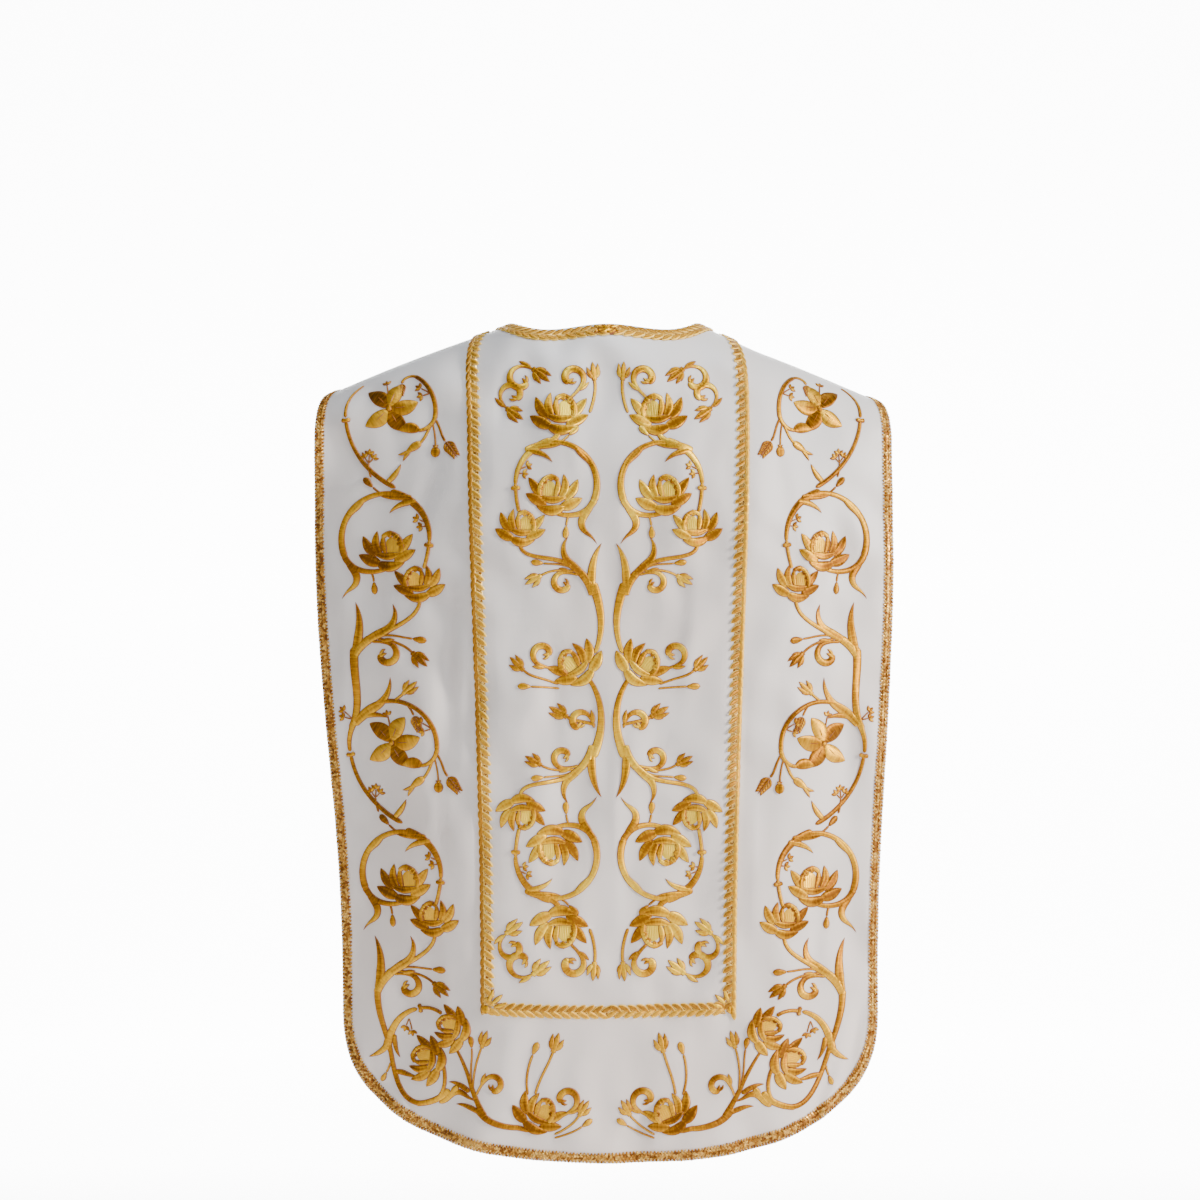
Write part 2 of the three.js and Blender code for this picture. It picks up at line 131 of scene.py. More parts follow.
def creases(*rows: tuple[float, ...]) -> tuple[Crease, ...]:
    """Makes creases from rows of u, top, length, drift, width and depth."""
    return tuple(Crease(*row) for row in rows)


@dataclass(frozen=True)
class Side:
    """The back or the front: how it falls from the shoulders, and how it is cut."""

    facing: int
    bend: float
    tip_bend: float
    reach: float
    swell: float
    flat: Point
    wing: Point
    lean: float
    neck: float
    hem: float
    rise: float
    folds: tuple[Crease, ...]
    wrinkles: tuple[Crease, ...] = ()


BACK = Side(
    facing=1,
    bend=85,
    tip_bend=60,
    reach=145,
    swell=260,
    flat=(140, 182),
    wing=(0.42, 0.4),
    lean=12,
    neck=76,
    hem=-1002,
    rise=170,
    folds=creases(
        (-178, -250, 330, -8, 26, -5),
        (-226, -180, 560, 12, 38, 4),
        (-300, -420, 420, 22, 34, -4.5),
        (212, -240, 640, -14, 36, 5),
        (262, -150, 300, 34, 30, -5.5),
        (292, -430, 380, -18, 30, -4.5),
        (322, -330, 560, -6, 22, 4.5),
        (-90, -640, 350, -22, 44, 4),
        (84, -560, 430, 20, 46, -3.5),
        (14, -60, 150, 10, 40, -4),
        (236, -800, 190, 26, 30, -5),
        (-242, -770, 220, -18, 32, -4.5),
    ),
    wrinkles=creases(
        (-186, -290, 250, -10, 9, -4.7),
        (-172, -330, 240, -4, 7, 3.2),
        (-206, -470, 200, 10, 8, -3.0),
        (-291, -860, 120, 22, 9, -3.5),
        (-262, -900, 90, 30, 8, 2.8),
        (306, -800, 130, -24, 9, -5.1),
        (284, -880, 110, -46, 8, 4.3),
        (262, -905, 80, -30, 7, -3.5),
        (38, -84, 60, 16, 9, -3.9),
        (22, -150, 130, -12, 12, 2.8),
        (-44, -120, 90, 10, 10, 2.4),
        (-118, -40, 110, -18, 10, -2.6),
        (152, -360, 320, 10, 8, -3.2),
        (168, -520, 280, 6, 7, 2.6),
        (-152, -560, 300, -5, 6, -2.4),
        (230, -210, 170, 26, 10, 3.5),
        (-262, -250, 210, -12, 10, -3.0),
        (-232, -620, 160, -8, 9, 2.6),
        (250, -640, 190, -6, 9, -2.8),
        (-205, -150, 150, -30, 11, -3.2),
        (196, -140, 140, 28, 12, -3.5),
        (-318, -320, 200, 8, 9, 3.0),
        (330, -600, 240, -10, 8, -3.0),
        (-120, -905, 80, 46, 12, 2.7),
        (60, -915, 75, -52, 12, -3.0),
        (104, -250, 260, -16, 10, 2.2),
        (-70, -320, 280, 12, 11, -2.0),
        (4, -420, 330, 8, 8, 2.2),
    ),
)
FRONT = Side(
    facing=-1,
    bend=75,
    tip_bend=55,
    reach=135,
    swell=220,
    flat=(105, 105),
    wing=(0.3, 0.3),
    lean=22,
    neck=165,
    hem=-940,
    rise=150,
    folds=creases(
        (-150, -180, 520, -16, 30, -5),
        (142, -230, 470, 20, 32, -5.5),
        (-62, -420, 500, -26, 44, 5),
        (48, -330, 590, 22, 42, 4),
        (-205, -480, 380, -8, 26, 5),
        (212, -520, 330, 8, 26, 4.5),
        (4, -180, 190, -6, 36, -4),
    ),
    wrinkles=creases(
        (-130, -240, 220, -10, 9, -3.9),
        (126, -300, 260, 8, 8, -3.5),
        (-24, -200, 120, 10, 10, 3.2),
        (70, -520, 200, 12, 9, 2.8),
        (-172, -640, 180, -16, 9, -3.5),
        (180, -700, 150, 14, 9, 3.5),
    ),
)


@dataclass(frozen=True)
class Drape:
    """Lays the flat pattern over the shoulders of a general figure."""

    shoulder_half: float = 350
    neck_half: float = 138
    slope: float = 0.5
    rounding: float = 180
    low_shoulder: float = 8
    nape_rise: float = 13
    nape_width: float = 85
    turn_in: float = 18
    neck_shift: float = -4.5
    edge_shift: tuple[float, float, float] = (-2.1, -6.6, 1)

    def inward(self, u: Array) -> Array:
        """How far the grain at u has turned towards the neck where it crosses the ridge."""
        return self.turn_in * smooth(np.abs(u) / self.neck_half) * np.sign(u)

    def ridge(self, u: Array) -> Array:
        """Height of the shoulder ridge above the side neck points."""
        x = u - self.inward(u)

        def profile(x: Array | float) -> Array | float:
            """The two slopes and the rise at the nape."""
            nape = self.nape_rise * np.exp(-((x / self.nape_width) ** 2))
            return nape - self.slope * np.hypot(x, self.rounding)

        low = self.low_shoulder * smooth((x - 100) / 90)
        return profile(x) - profile(self.neck_half - self.turn_in) - low

    def radius(self, side: Side, u: Array) -> Array:
        """Radius with which a side bends over the shoulder."""
        return side.tip_bend + (side.bend - side.tip_bend) * (1 - (u / self.shoulder_half) ** 2)

    def ridge_height(self, side: Side, u: Array) -> Array:
        """Height in the flat pattern at which a side crosses the ridge."""
        return self.ridge(u) + self.radius(side, u) * (math.pi / 2 - 1)

    def run_of(self, side: Side, u: Array, height: Array) -> Array:
        """Distance from the ridge of a height in the flat pattern."""
        return self.ridge_height(side, u) - height

    def shift(self, u: Array, run: Array) -> Array:
        """Sideways shift of the cloth, which never hangs quite square."""
        shoulder, edge, hem = self.edge_shift
        neck = self.neck_shift * (1 - smooth(run / 170))
        reached = shoulder + (edge - shoulder) * smooth(run / 170)
        sideways = reached + (hem - reached) * smooth((run - 170) / 650)
        return neck + sideways * smooth((np.abs(u) - 165) / 150)

    def _fall(self, side: Side, u: Array, run: Array) -> Array:
        """Points of one side's outer face, at distances from the ridge."""
        radius = self.radius(side, u)
        arc = radius * math.pi / 2
        turn = np.minimum(run / radius, math.pi / 2)
        fall = radius * (1 - np.cos(turn)) + np.maximum(0, run - arc)
        flat = np.where(u < 0, side.flat[0], side.flat[1])
        wing = np.where(u < 0, side.wing[0], side.wing[1])
        drop = wing * 26 * np.log1p(np.exp((np.abs(u) - flat) / 26))
        swell = (side.reach - radius - drop) * smooth((run - 0.4 * radius) / side.swell)
        out = radius * np.sin(turn) + swell - side.lean * smooth((run - 260) / 700)
        height = self.ridge_height(side, u) - run
        for crease in side.folds + side.wrinkles:
            out = out + crease.depth_at(u, height)
        for slack in SLACK:
            out = out + slack.depth_at(u, height) * smooth(run / 120)
        inward = self.inward(u) * np.clip(1 - run / arc, 0, 1) ** 2.5
        return np.stack([u - inward + self.shift(u, run), -side.facing * out, self.ridge(u) - fall], axis=-1)

    def cloth(self, u: Array, v: Array) -> Array:
        """Points of the cloth's outer face, in millimetres."""
        run = np.abs(v)
        return np.where((v >= 0)[..., None], self._fall(BACK, u, run), self._fall(FRONT, u, run))

    def frames(self, u: Array, v: Array) -> tuple[Array, Array, Array]:
        """Directions on the cloth.

        Args:
            u: Places across.
            v: Places along.

        Returns:
            Unit vectors across, along, and out of the cloth.
        """
        across = self.cloth(u + 0.5, v) - self.cloth(u - 0.5, v)
        down = self.cloth(u, v + 0.5) - self.cloth(u, v - 0.5)
        across /= np.linalg.norm(across, axis=-1, keepdims=True)
        normal = np.cross(down, across)
        normal /= np.linalg.norm(normal, axis=-1, keepdims=True)
        return across, np.cross(across, normal), normal

    def lay(self, u: Array, v: Array, lift: Array | float) -> Array:
        """Points laid on the cloth and lifted off it, in metres."""
        lift = np.broadcast_to(np.asarray(lift, float), np.shape(u))
        return (self.cloth(u, v) + self.frames(u, v)[2] * lift[..., None]) * MM


DRAPE = Drape()


@dataclass(frozen=True)
class Cut:
    """The outline of a panel's cut."""

    side: Side
    narrowing: float = 0.076
    chest_half: float = 226
    flare: float = 40
    armhole_drop: float = 85
    seam: float = 12
    gap: float = 0.3
    hem_roundness: float = 2.5
    neck_roundness: float = 4

    def half(self, run: Array) -> Array:
        """Half width at a distance from the ridge."""
        whole = DRAPE.shoulder_half
        if self.side.facing > 0:
            return whole * (1 - self.narrowing * smooth((run - 210) / 530))
        scoop = np.exp(-((np.maximum(0, run - self.seam) / self.armhole_drop) ** 2))
        return self.chest_half + (whole - self.chest_half) * scoop + self.flare * smooth((run - 250) / 560)

    def hem_run(self, t: Array) -> Array:
        """Distance from the ridge of the hem, at t from -1 to 1 across."""
        n = self.hem_roundness
        fullness = np.maximum(0, 1 - np.abs(t) ** n) ** (1 / n)
        height = self.side.hem + self.side.rise * (1 - fullness)
        return DRAPE.run_of(self.side, t * self.half(np.array(1e9)), height)

    def top_run(self, t: Array) -> Array:
        """Distance from the ridge of the neck curve, or of the shoulder seam beside it."""
        share = np.minimum(1, np.abs(t) * DRAPE.shoulder_half / DRAPE.neck_half)
        seam = self.gap / 2 - self.side.facing * self.seam
        return seam + (self.side.neck - seam) * (1 - share**self.neck_roundness)

    def edge(self, inset: float, step: float = 2.0) -> Array:
        """The outer edge from the right seam round the hem to the left one.

        Args:
            inset: How far inside the edge the path runs.
            step: Spacing of its places.

        Returns:
            Rows of u and v, evenly spaced.
        """
        half = float(self.half(np.array(1e9)))
        top = -self.seam * self.side.facing + self.gap / 2
        down = np.arange(top, float(self.hem_run(np.array(1.0))), 3)
        angle = np.linspace(0, math.pi, 420)[1:-1]
        n = self.hem_roundness
        u_hem = half * np.sign(np.cos(angle)) * np.abs(np.cos(angle)) ** (2 / n)
        height = self.side.hem + self.side.rise * (1 - np.sin(angle) ** (2 / n))
        left = np.arange(top, float(self.hem_run(np.array(-1.0))), 3)[::-1]
        u = np.concatenate([self.half(down), u_hem, -self.half(left)])
        run = np.concatenate([down, DRAPE.run_of(self.side, u_hem, height), left])
        path = even(np.stack([u, self.side.facing * run], axis=-1), step)
        across = normals(path) * self.side.facing
        path = path + across * inset
        path[0, 1] = path[-1, 1] = -self.seam + self.side.facing
        return even(path, step)


def even(path: Array, step: float, closed: bool = False) -> Array:
    """Lays a path's places out again, evenly.

    Args:
        path: Its places.
        step: The wanted spacing.
        closed: Whether the path returns to its start.

    Returns:
        The path with places one step apart.
    """
    path = np.vstack([path, path[:1]]) if closed else path
    length = np.concatenate([[0], np.cumsum(np.linalg.norm(np.diff(path, axis=0), axis=1))])
    count = max(2, round(length[-1] / step))
    at = np.linspace(0, length[-1], count + 1)
    at = at[:-1] if closed else at
    return np.stack([np.interp(at, length, path[:, k]) for k in range(path.shape[1])], axis=-1)


def normals(path: Array, closed: bool = False) -> Array:
    """Unit vectors to the left of a flat path at each place."""
    if closed:
        along = np.roll(path, -1, axis=0) - np.roll(path, 1, axis=0)
    else:
        along = np.gradient(path, axis=0)
    along /= np.linalg.norm(along, axis=1, keepdims=True)
    return np.stack([-along[:, 1], along[:, 0]], axis=-1)


# ---- meshes ----


@dataclass
class Weaving:
    """Points, faces and per-point values gathered for one mesh, in metres."""

    points: list[Array] = field(default_factory=list)
    faces: list[tuple[int, ...]] = field(default_factory=list)
    uvs: list[Array] = field(default_factory=list)
    marks: dict[str, list[Array]] = field(default_factory=lambda: {"edge": [], "tone": [], "vein": []})
    count: int = 0

    def add(self, points: Array, faces: Iterable[Sequence[int]], uvs: Array, *marks: Array) -> None:
        """Adds a part whose faces count from its own first point, with its edge, tone and vein marks, where
        tone holds painted sheen and the rose heart's own paleness.
        """
        self.faces.extend(tuple(int(i) + self.count for i in face) for face in faces)
        self.points.append(points)
        self.uvs.append(uvs)
        for k, values in enumerate(self.marks.values()):
            values.append(marks[k] if k < len(marks) else np.full(len(points), 0.5 if k == 1 else 0.0))
        self.count += len(points)

    def piece(self, name: str, material: bpy.types.Material, smooth_angle: float = 60) -> bpy.types.Object:
        """Makes the object.

        Args:
            name: Its name.
            material: Its finish.
            smooth_angle: Edges sharper than this many degrees stay crisp.

        Returns:
            The object, at the origin.
        """
        mesh = bpy.data.meshes.new(name)
        mesh.from_pydata(np.concatenate(self.points).tolist(), [], self.faces)
        corner = np.empty(len(mesh.loops), dtype=np.int32)
        mesh.loops.foreach_get("vertex_index", corner)
        layer = mesh.uv_layers.new(name="UVMap")
        layer.data.foreach_set("uv", np.concatenate(self.uvs)[corner].astype(np.float32).ravel())
        for label, values in self.marks.items():
            mark = mesh.attributes.new(label, "FLOAT", "POINT")
            mark.data.foreach_set("value", np.concatenate(values).astype(np.float32))
        mesh.polygons.foreach_set("use_smooth", np.ones(len(mesh.polygons), dtype=bool))
        mesh.set_sharp_from_angle(angle=math.radians(smooth_angle))
        mesh.materials.append(material)
        made = bpy.data.objects.new(name, mesh)
        bpy.context.scene.collection.objects.link(made)
        return made


def grid_faces(rows: int, columns: int, flip: bool) -> list[tuple[int, ...]]:
    """Faces of a grid of points, in rows."""
    i, j = np.meshgrid(np.arange(rows - 1), np.arange(columns - 1), indexing="ij")
    a = (i * columns + j).ravel()
    quads = np.stack([a, a + columns, a + columns + 1, a + 1], axis=-1)
    return [tuple(q) for q in (quads[:, ::-1] if flip else quads).tolist()]


# ---- finishes ----


@dataclass
class Shader:
    """A material that is put together node by node."""

    name: str
    material: bpy.types.Material = field(init=False)

    def __post_init__(self) -> None:
        """Starts an empty node tree."""
        self.material = bpy.data.materials.new(self.name)
        self.material.use_nodes = True
        self.material.node_tree.nodes.clear()

    def add(self, kind: str, inputs: dict[str | int, object] | None = None,
            **settings: object) -> bpy.types.Node:
        """Adds a node.

        Args:
            kind: The node's type, without its prefix.
            inputs: Values or linked sockets for its inputs.
            settings: Values for its own properties.

        Returns:
            The node.
        """
        tree = self.material.node_tree
        made = tree.nodes.new("ShaderNode" + kind)
        for key, value in settings.items():
            setattr(made, key, value)
        for key, value in (inputs or {}).items():
            if isinstance(value, bpy.types.NodeSocket):
                tree.links.new(value, made.inputs[key])
            else:
                made.inputs[key].default_value = value
        return made

    def math(self, operation: str, *values: object) -> bpy.types.NodeSocket:
        """A sum of sockets or numbers."""
        inputs = dict(enumerate(values))
        return self.add("Math", inputs, operation=operation).outputs[0]

    def ramp(self, value: bpy.types.NodeSocket,
             *stops: tuple[float, tuple[float, ...]]) -> bpy.types.NodeSocket:
        """A colour ramp with its stops."""
        made = self.add("ValToRGB", {"Fac": value})
        ramp = made.color_ramp
        while len(ramp.elements) < len(stops):
            ramp.elements.new(0.5)
        for element, (place, colour) in zip(ramp.elements, stops):
            element.position = place
            element.color = (*colour, 1)
        return made.outputs["Color"]

    def noise(self, where: bpy.types.NodeSocket, scale: float, detail: float = 2) -> bpy.types.NodeSocket:
        """A noise value."""
        return self.add("TexNoise", {"Vector": where, "Scale": scale, "Detail": detail}).outputs["Fac"]

    def stretched(self, where: bpy.types.NodeSocket, x: float, y: float,
                  z: float = 1) -> bpy.types.NodeSocket:
        """Coordinates scaled unevenly."""
        return self.add("Mapping", {"Vector": where, "Scale": (x, y, z)}).outputs[0]

    def mix(self, share: object, first: object, second: object, blend: str = "MIX") -> bpy.types.NodeSocket:
        """A mix of two colours."""
        made = self.add("Mix", data_type="RGBA", blend_type=blend)
        tree = self.material.node_tree
        for socket, value in ((made.inputs[0], share), (made.inputs[6], first), (made.inputs[7], second)):
            if isinstance(value, bpy.types.NodeSocket):
                tree.links.new(value, socket)
            else:
                socket.default_value = (*value, 1) if isinstance(value, tuple) else value
        return made.outputs[2]

    def bump(self, height: bpy.types.NodeSocket, strength: float, distance: float) -> bpy.types.NodeSocket:
        """A bump from a height."""
        inputs = {"Height": height, "Strength": strength, "Distance": distance}
        return self.add("Bump", inputs).outputs["Normal"]

    def close(self, inputs: dict[str, object]) -> bpy.types.Material:
        """Ends the tree in a principled surface."""
        surface = self.add("BsdfPrincipled", inputs)
        self.add("OutputMaterial", {"Surface": surface.outputs[0]})
        return self.material


def linear(red: int, green: int, blue: int) -> tuple[float, float, float]:
    """A linear colour from one written as seen."""
    return tuple(((c / 255 + 0.055) / 1.055) ** 2.4 if c > 10 else c / 3294.6 for c in (red, green, blue))


@dataclass(frozen=True)
class SilkFinish:
    """Ivory silk satin: a fine weave, long soft slubs and a low sheen."""

    name: str = "ivory_silk"
    light: tuple[int, int, int] = (233, 226, 220)
    shade: tuple[int, int, int] = (224, 213, 205)
    # The colour that the lower silk is painted towards, as painted bounce light from below.
    painted_bounce_tint: tuple[int, int, int] = (246, 226, 212)
    roughness: float = 0.38

    def make(self) -> bpy.types.Material:
        """Builds the material."""
        s = Shader(self.name)
        uv = s.add("UVMap", uv_map="UVMap").outputs[0]
        place = s.add("TexCoord").outputs["Object"]
        cloud = s.noise(s.stretched(place, 5, 5, 3), 1.0, 4)
        slub = s.noise(s.stretched(uv, 16, 210), 1.0, 3)
        streak = s.noise(s.stretched(uv, 190, 9), 1.0, 3)
        body = s.ramp(cloud, (0.35, linear(*self.shade)), (0.68, linear(*self.light)))
        # Painted bounce light: the silk is painted pinker further down, from 0.15 m to 1 m below the side neck
        # points, as if lit from below.
        low = s.add("SeparateXYZ", {0: place}).outputs["Z"]
        painted_bounce = s.add("MapRange", {0: low, 1: -0.15, 2: -1.0, 3: 0.0, 4: 0.55}).outputs[0]
        body = s.mix(painted_bounce, body, linear(*self.painted_bounce_tint))
        threads = s.ramp(s.math("ADD", slub, streak), (0.42, (0.955, 0.953, 0.95)), (0.6, (1.02, 1.02, 1.02)))
        body = s.mix(1.0, body, threads, "MULTIPLY")
        weft = s.add("TexWave", {"Vector": uv, "Scale": 330.0}, bands_direction="Y").outputs["Fac"]
        warp = s.add("TexWave", {"Vector": uv, "Scale": 390.0}, bands_direction="X").outputs["Fac"]
        weave = s.math("ADD", s.math("MULTIPLY", weft, warp), s.math("MULTIPLY", slub, 1.3))
        soft = s.noise(s.stretched(place, 26, 26, 17), 1.0, 3)
        normal = s.bump(s.math("ADD", weave, s.math("MULTIPLY", soft, 9.0)), 0.32, 0.00022)
        rough = s.add("MapRange", {0: streak, 3: self.roughness - 0.05, 4: self.roughness + 0.09}).outputs[0]
        return s.close({"Base Color": body, "Roughness": rough, "Normal": normal, "Sheen Weight": 0.22,
                        "Sheen Roughness": 0.45, "Specular IOR Level": 0.55})


@dataclass(frozen=True)
class GoldFinish:
    """Gilt thread laid side by side over padding, couched down at its edges with a brown cord."""

    name: str
    dark: tuple[int, int, int]
    body: tuple[int, int, int]
    light: tuple[int, int, int]
    outline: tuple[int, int, int] = (146, 82, 24)
    thread: float = 1500.0
    bundle: float = 420.0
    outline_width: float = 0.95
    sheen_turn: float = 0.32
    metallic: float = 0.85
    roughness: float = 0.36

    def make(self) -> bpy.types.Material:
        """Builds the material. UV x runs along the spine, so the threads lie across it."""
        s = Shader(self.name)
        uv = s.add("UVMap", uv_map="UVMap").outputs[0]
        place = s.add("TexCoord").outputs["Object"]
        bundles = s.noise(s.stretched(uv, self.bundle, self.bundle * 0.12), 1.0, 3)
        wear = s.noise(place, 60.0, 3)
        # Painted sheen: the tone and row marks make strokes and plait rows lighter and darker, as satin thread
        # turned towards the light and away from it; tone also holds the hatched rose heart's own paler look.
        tone = s.math("ADD", s.add("Attribute", attribute_name="tone").outputs["Fac"],
                      s.add("Attribute", attribute_name="row").outputs["Fac"])
        vein = s.add("Attribute", attribute_name="vein").outputs["Fac"]
        value = s.math("ADD", s.math("MULTIPLY", bundles, 0.5), s.math("MULTIPLY", wear, 0.2))
        value = s.math("ADD", value, s.math("MULTIPLY", s.math("SUBTRACT", tone, 0.3), self.sheen_turn))
        value = s.math("SUBTRACT", value, s.math("MULTIPLY", vein, 0.16))
        colour = s.ramp(value, (0.2, linear(*self.dark)), (0.42, linear(*self.body)),
                        (0.68, linear(*self.light)))
        edge = s.add("Attribute", attribute_name="edge").outputs["Fac"]
        rim = s.add("MapRange",
                    {0: edge, 1: self.outline_width * 0.7, 2: self.outline_width * 1.3}).outputs[0]
        colour = s.mix(rim, linear(*self.outline), colour)
        threads = s.add("TexWave", {"Vector": uv, "Scale": self.thread / 6.283},
                        bands_direction="X").outputs["Fac"]
        height = s.math("ADD", threads, s.math("MULTIPLY", bundles, 1.6))
        normal = s.bump(height, 0.55, 0.00028)
        metal = s.add("MapRange", {0: rim, 3: 0.1, 4: self.metallic}).outputs[0]
        rough = s.add("MapRange", {0: bundles, 3: self.roughness - 0.08, 4: self.roughness + 0.14}).outputs[0]
        return s.close({"Base Color": colour, "Metallic": metal, "Roughness": rough, "Normal": normal,
                        "Specular IOR Level": 0.5})


@dataclass(frozen=True)
class BraidFinish:
    """Twisted metal braid, speckled where its strips catch the light."""

    name: str
    dark: tuple[int, int, int]
    body: tuple[int, int, int]
    light: tuple[int, int, int]
    grain: float = 900.0
    metallic: float = 0.7
    roughness: float = 0.34

    def make(self) -> bpy.types.Material:
        """Builds the material on object coordinates."""
        s = Shader(self.name)
        place = s.add("TexCoord").outputs["Object"]
        speck = s.add("TexVoronoi", {"Vector": place, "Scale": self.grain}).outputs["Color"]
        value = s.add("SeparateColor", {0: speck}).outputs[0]
        colour = s.ramp(value, (0.12, linear(*self.dark)), (0.5, linear(*self.body)),
                        (0.88, linear(*self.light)))
        fine = s.noise(place, self.grain * 1.4, 2)
        normal = s.bump(fine, 0.6, 0.0004)
        rough = s.add("MapRange", {0: value, 3: self.roughness + 0.14, 4: self.roughness - 0.08}).outputs[0]
        return s.close({"Base Color": colour, "Metallic": self.metallic, "Roughness": rough,
                        "Normal": normal})


@dataclass(frozen=True)
class Finishes:
    """Every finish of the garment, made once."""

    silk: bpy.types.Material
    # One gold thread in two painted copies: a lit copy painted lighter, and a shaded copy painted darker as
    # painted shade.
    bright: bpy.types.Material
    bronze: bpy.types.Material
    plait: bpy.types.Material
    bed: bpy.types.Material
    galloon: bpy.types.Material

    @classmethod
    def make(cls) -> "Finishes":
        """Builds them all."""
        return cls(
            silk=SilkFinish().make(),
            # The first two finishes are one gold thread painted twice: painted lighter for the column, which
            # faces the light, and painted darker, as painted shade, for the border and the hem towards the
            # sides, which turn away from it.
            bright=GoldFinish("lit_gold_satin", (156, 96, 5), (226, 162, 12), (255, 214, 66)).make(),
            bronze=GoldFinish("bronze_satin_stitch", (118, 68, 3), (188, 124, 8), (246, 188, 46)).make(),
            plait=GoldFinish("plait_thread", (120, 72, 4), (200, 134, 10), (254, 200, 58),
                             outline=(250, 208, 96), outline_width=0.85, metallic=0.6).make(),
            bed=BraidFinish("plait_bed", (136, 82, 18), (208, 150, 56), (248, 212, 128), 700.0).make(),
            galloon=BraidFinish("galloon_braid", (136, 82, 22), (190, 130, 44), (236, 188, 96), 330.0).make(),
        )


# ---- the cloth ----


@dataclass(frozen=True)
class ClothPanel:
    """One panel of the chasuble as a thin closed shell of silk and lining."""

    name: str
    cut: Cut
    neck_columns: int
    side_columns: int
    rows: int
    cloth: float = 2.4
    neck_crowding: float = 1.5
    side_crowding: float = 1.7
    row_bias: float = 1.12

    def columns(self) -> Array:
        """Where its columns lie, from -1 to 1."""
        neck = DRAPE.neck_half / DRAPE.shoulder_half
        inner = np.arange(1, self.neck_columns + 1) / self.neck_columns
        outer = np.arange(1, self.side_columns + 1) / self.side_columns
        first = neck * (1 - (1 - inner) ** self.neck_crowding)
        rest = 1 - (1 - neck) * (1 - outer) ** self.side_crowding
        right = np.concatenate([first, rest])
        return np.concatenate([-right[::-1], [0], right])

    def build(self, material: bpy.types.Material) -> bpy.types.Object:
        """Builds the shell from its neck and shoulder seams to its hem."""
        t = self.columns()
        down = (np.arange(self.rows + 1) / self.rows) ** self.row_bias
        tt, dd = np.meshgrid(t, down)
        run = self.cut.top_run(tt) * (1 - dd) + self.cut.hem_run(tt) * dd
        u = tt * self.cut.half(run)
        facing = self.cut.side.facing
        height = DRAPE.ridge_height(self.cut.side, u) - run
        uvs = np.stack([u, height], axis=-1).reshape(-1, 2) * MM
        rows, columns = tt.shape
        made = Weaving()
        flip = facing < 0
        outer = DRAPE.lay(u, facing * run, 0).reshape(-1, 3)
        inner = DRAPE.lay(u, facing * run, -self.cloth).reshape(-1, 3)
        count = rows * columns
        faces = grid_faces(rows, columns, flip)
        faces += [tuple(i + count for i in reversed(face)) for face in faces]
        ring = list(range(columns)) + [r * columns + columns - 1 for r in range(1, rows)]
        ring += [(rows - 1) * columns + c for c in range(columns - 2, -1, -1)]
        ring += [r * columns for r in range(rows - 2, 0, -1)]
        for a, b in zip(ring, ring[1:] + ring[:1]):
            wall = (a, b, b + count, a + count)
            faces.append(wall[::-1] if flip else wall)
        made.add(np.concatenate([outer, inner]), faces, np.concatenate([uvs, uvs]), np.zeros(2 * count))
        return made.piece(self.name, material, 50)


# ---- needlework ----


class Shape(Enum):
    """How a stroke's width changes along its spine."""

    STEM = "stem"
    LEAF = "leaf"
    BLADE = "blade"
    PETAL = "petal"
    DROP = "drop"
    COMMA = "comma"
    RIBBON = "ribbon"
    DISC = "disc"

    def width(self, s: Array) -> Array:
        """Share of the full width at shares of the length."""
        start = np.sqrt(np.clip(s / 0.05, 0, 1))
        end = np.sqrt(np.clip((1 - s) / 0.05, 0, 1))
        if self is Shape.STEM:
            return start * end
        if self is Shape.LEAF:
            return np.sin(np.pi * np.clip(s, 0, 1) ** 0.86) ** 0.72
        if self is Shape.DISC:
            return np.sqrt(np.clip(1 - (2 * s - 1) ** 2, 0, 1))
        if self is Shape.BLADE:
            return start * np.minimum(1, 0.72 + 0.8 * s) * (1 - np.clip(s, 0, 1) ** 2.2) ** 0.8
        if self is Shape.RIBBON:
            return start * (0.55 + 0.45 * np.sin(np.pi * np.clip(s * 1.15, 0, 1))) * (1 - s**3) ** 0.7
        if self is Shape.COMMA:
            head = np.clip((1 - s) / 0.12, 0, 1)
            return (0.42 + 0.58 * smooth((s - 0.1) / 0.55)) * start * np.sqrt(head * (2 - head))
        rounded = np.clip((1 - s) / 0.45, 0, 1)
        if self is Shape.PETAL:
            return np.minimum(1, 0.3 + 1.3 * s) * start * np.sqrt(rounded * (2 - rounded))
        swell = np.clip(s / 0.34, 0, 1)
        return np.sqrt(swell * (2 - swell)) * np.clip((1 - s) / 0.62, 0, 1) ** 0.8


@dataclass(frozen=True)
class Stroke:
    """One padded patch of satin stitch: a spine in the drawing, its full width and its rise."""

    spine: Array
    width: float
    shape: Shape
    rise: float = 1.5
    groove: bool = False
    taper: float = 1.0
    bare: bool = False


def spline(points: Array, count: int) -> Array:
    """A smooth curve through points.

    Args:
        points: At least two places.
        count: How many places to return.

    Returns:
        Places along the curve, closer together at its ends.
    """
    points = np.asarray(points, float)
    if len(points) > 2:
        padded = np.vstack([2 * points[0] - points[1], points, 2 * points[-1] - points[-2]])
        t = np.linspace(0, 1, 9)[:-1, None]
        runs = []
        for p0, p1, p2, p3 in zip(padded, padded[1:], padded[2:], padded[3:]):
            runs.append(0.5 * (2 * p1 + (p2 - p0) * t + (2 * p0 - 5 * p1 + 4 * p2 - p3) * t**2
                               + (3 * p1 - p0 - 3 * p2 + p3) * t**3))
        points = np.vstack([*runs, points[-1:]])
    length = np.concatenate([[0], np.cumsum(np.linalg.norm(np.diff(points, axis=0), axis=1))])
    t = np.linspace(0, 1, count)
    at = (0.55 * t + 0.45 * (1 - np.cos(np.pi * t)) / 2) * length[-1]
    return np.stack([np.interp(at, length, points[:, k]) for k in (0, 1)], axis=-1)


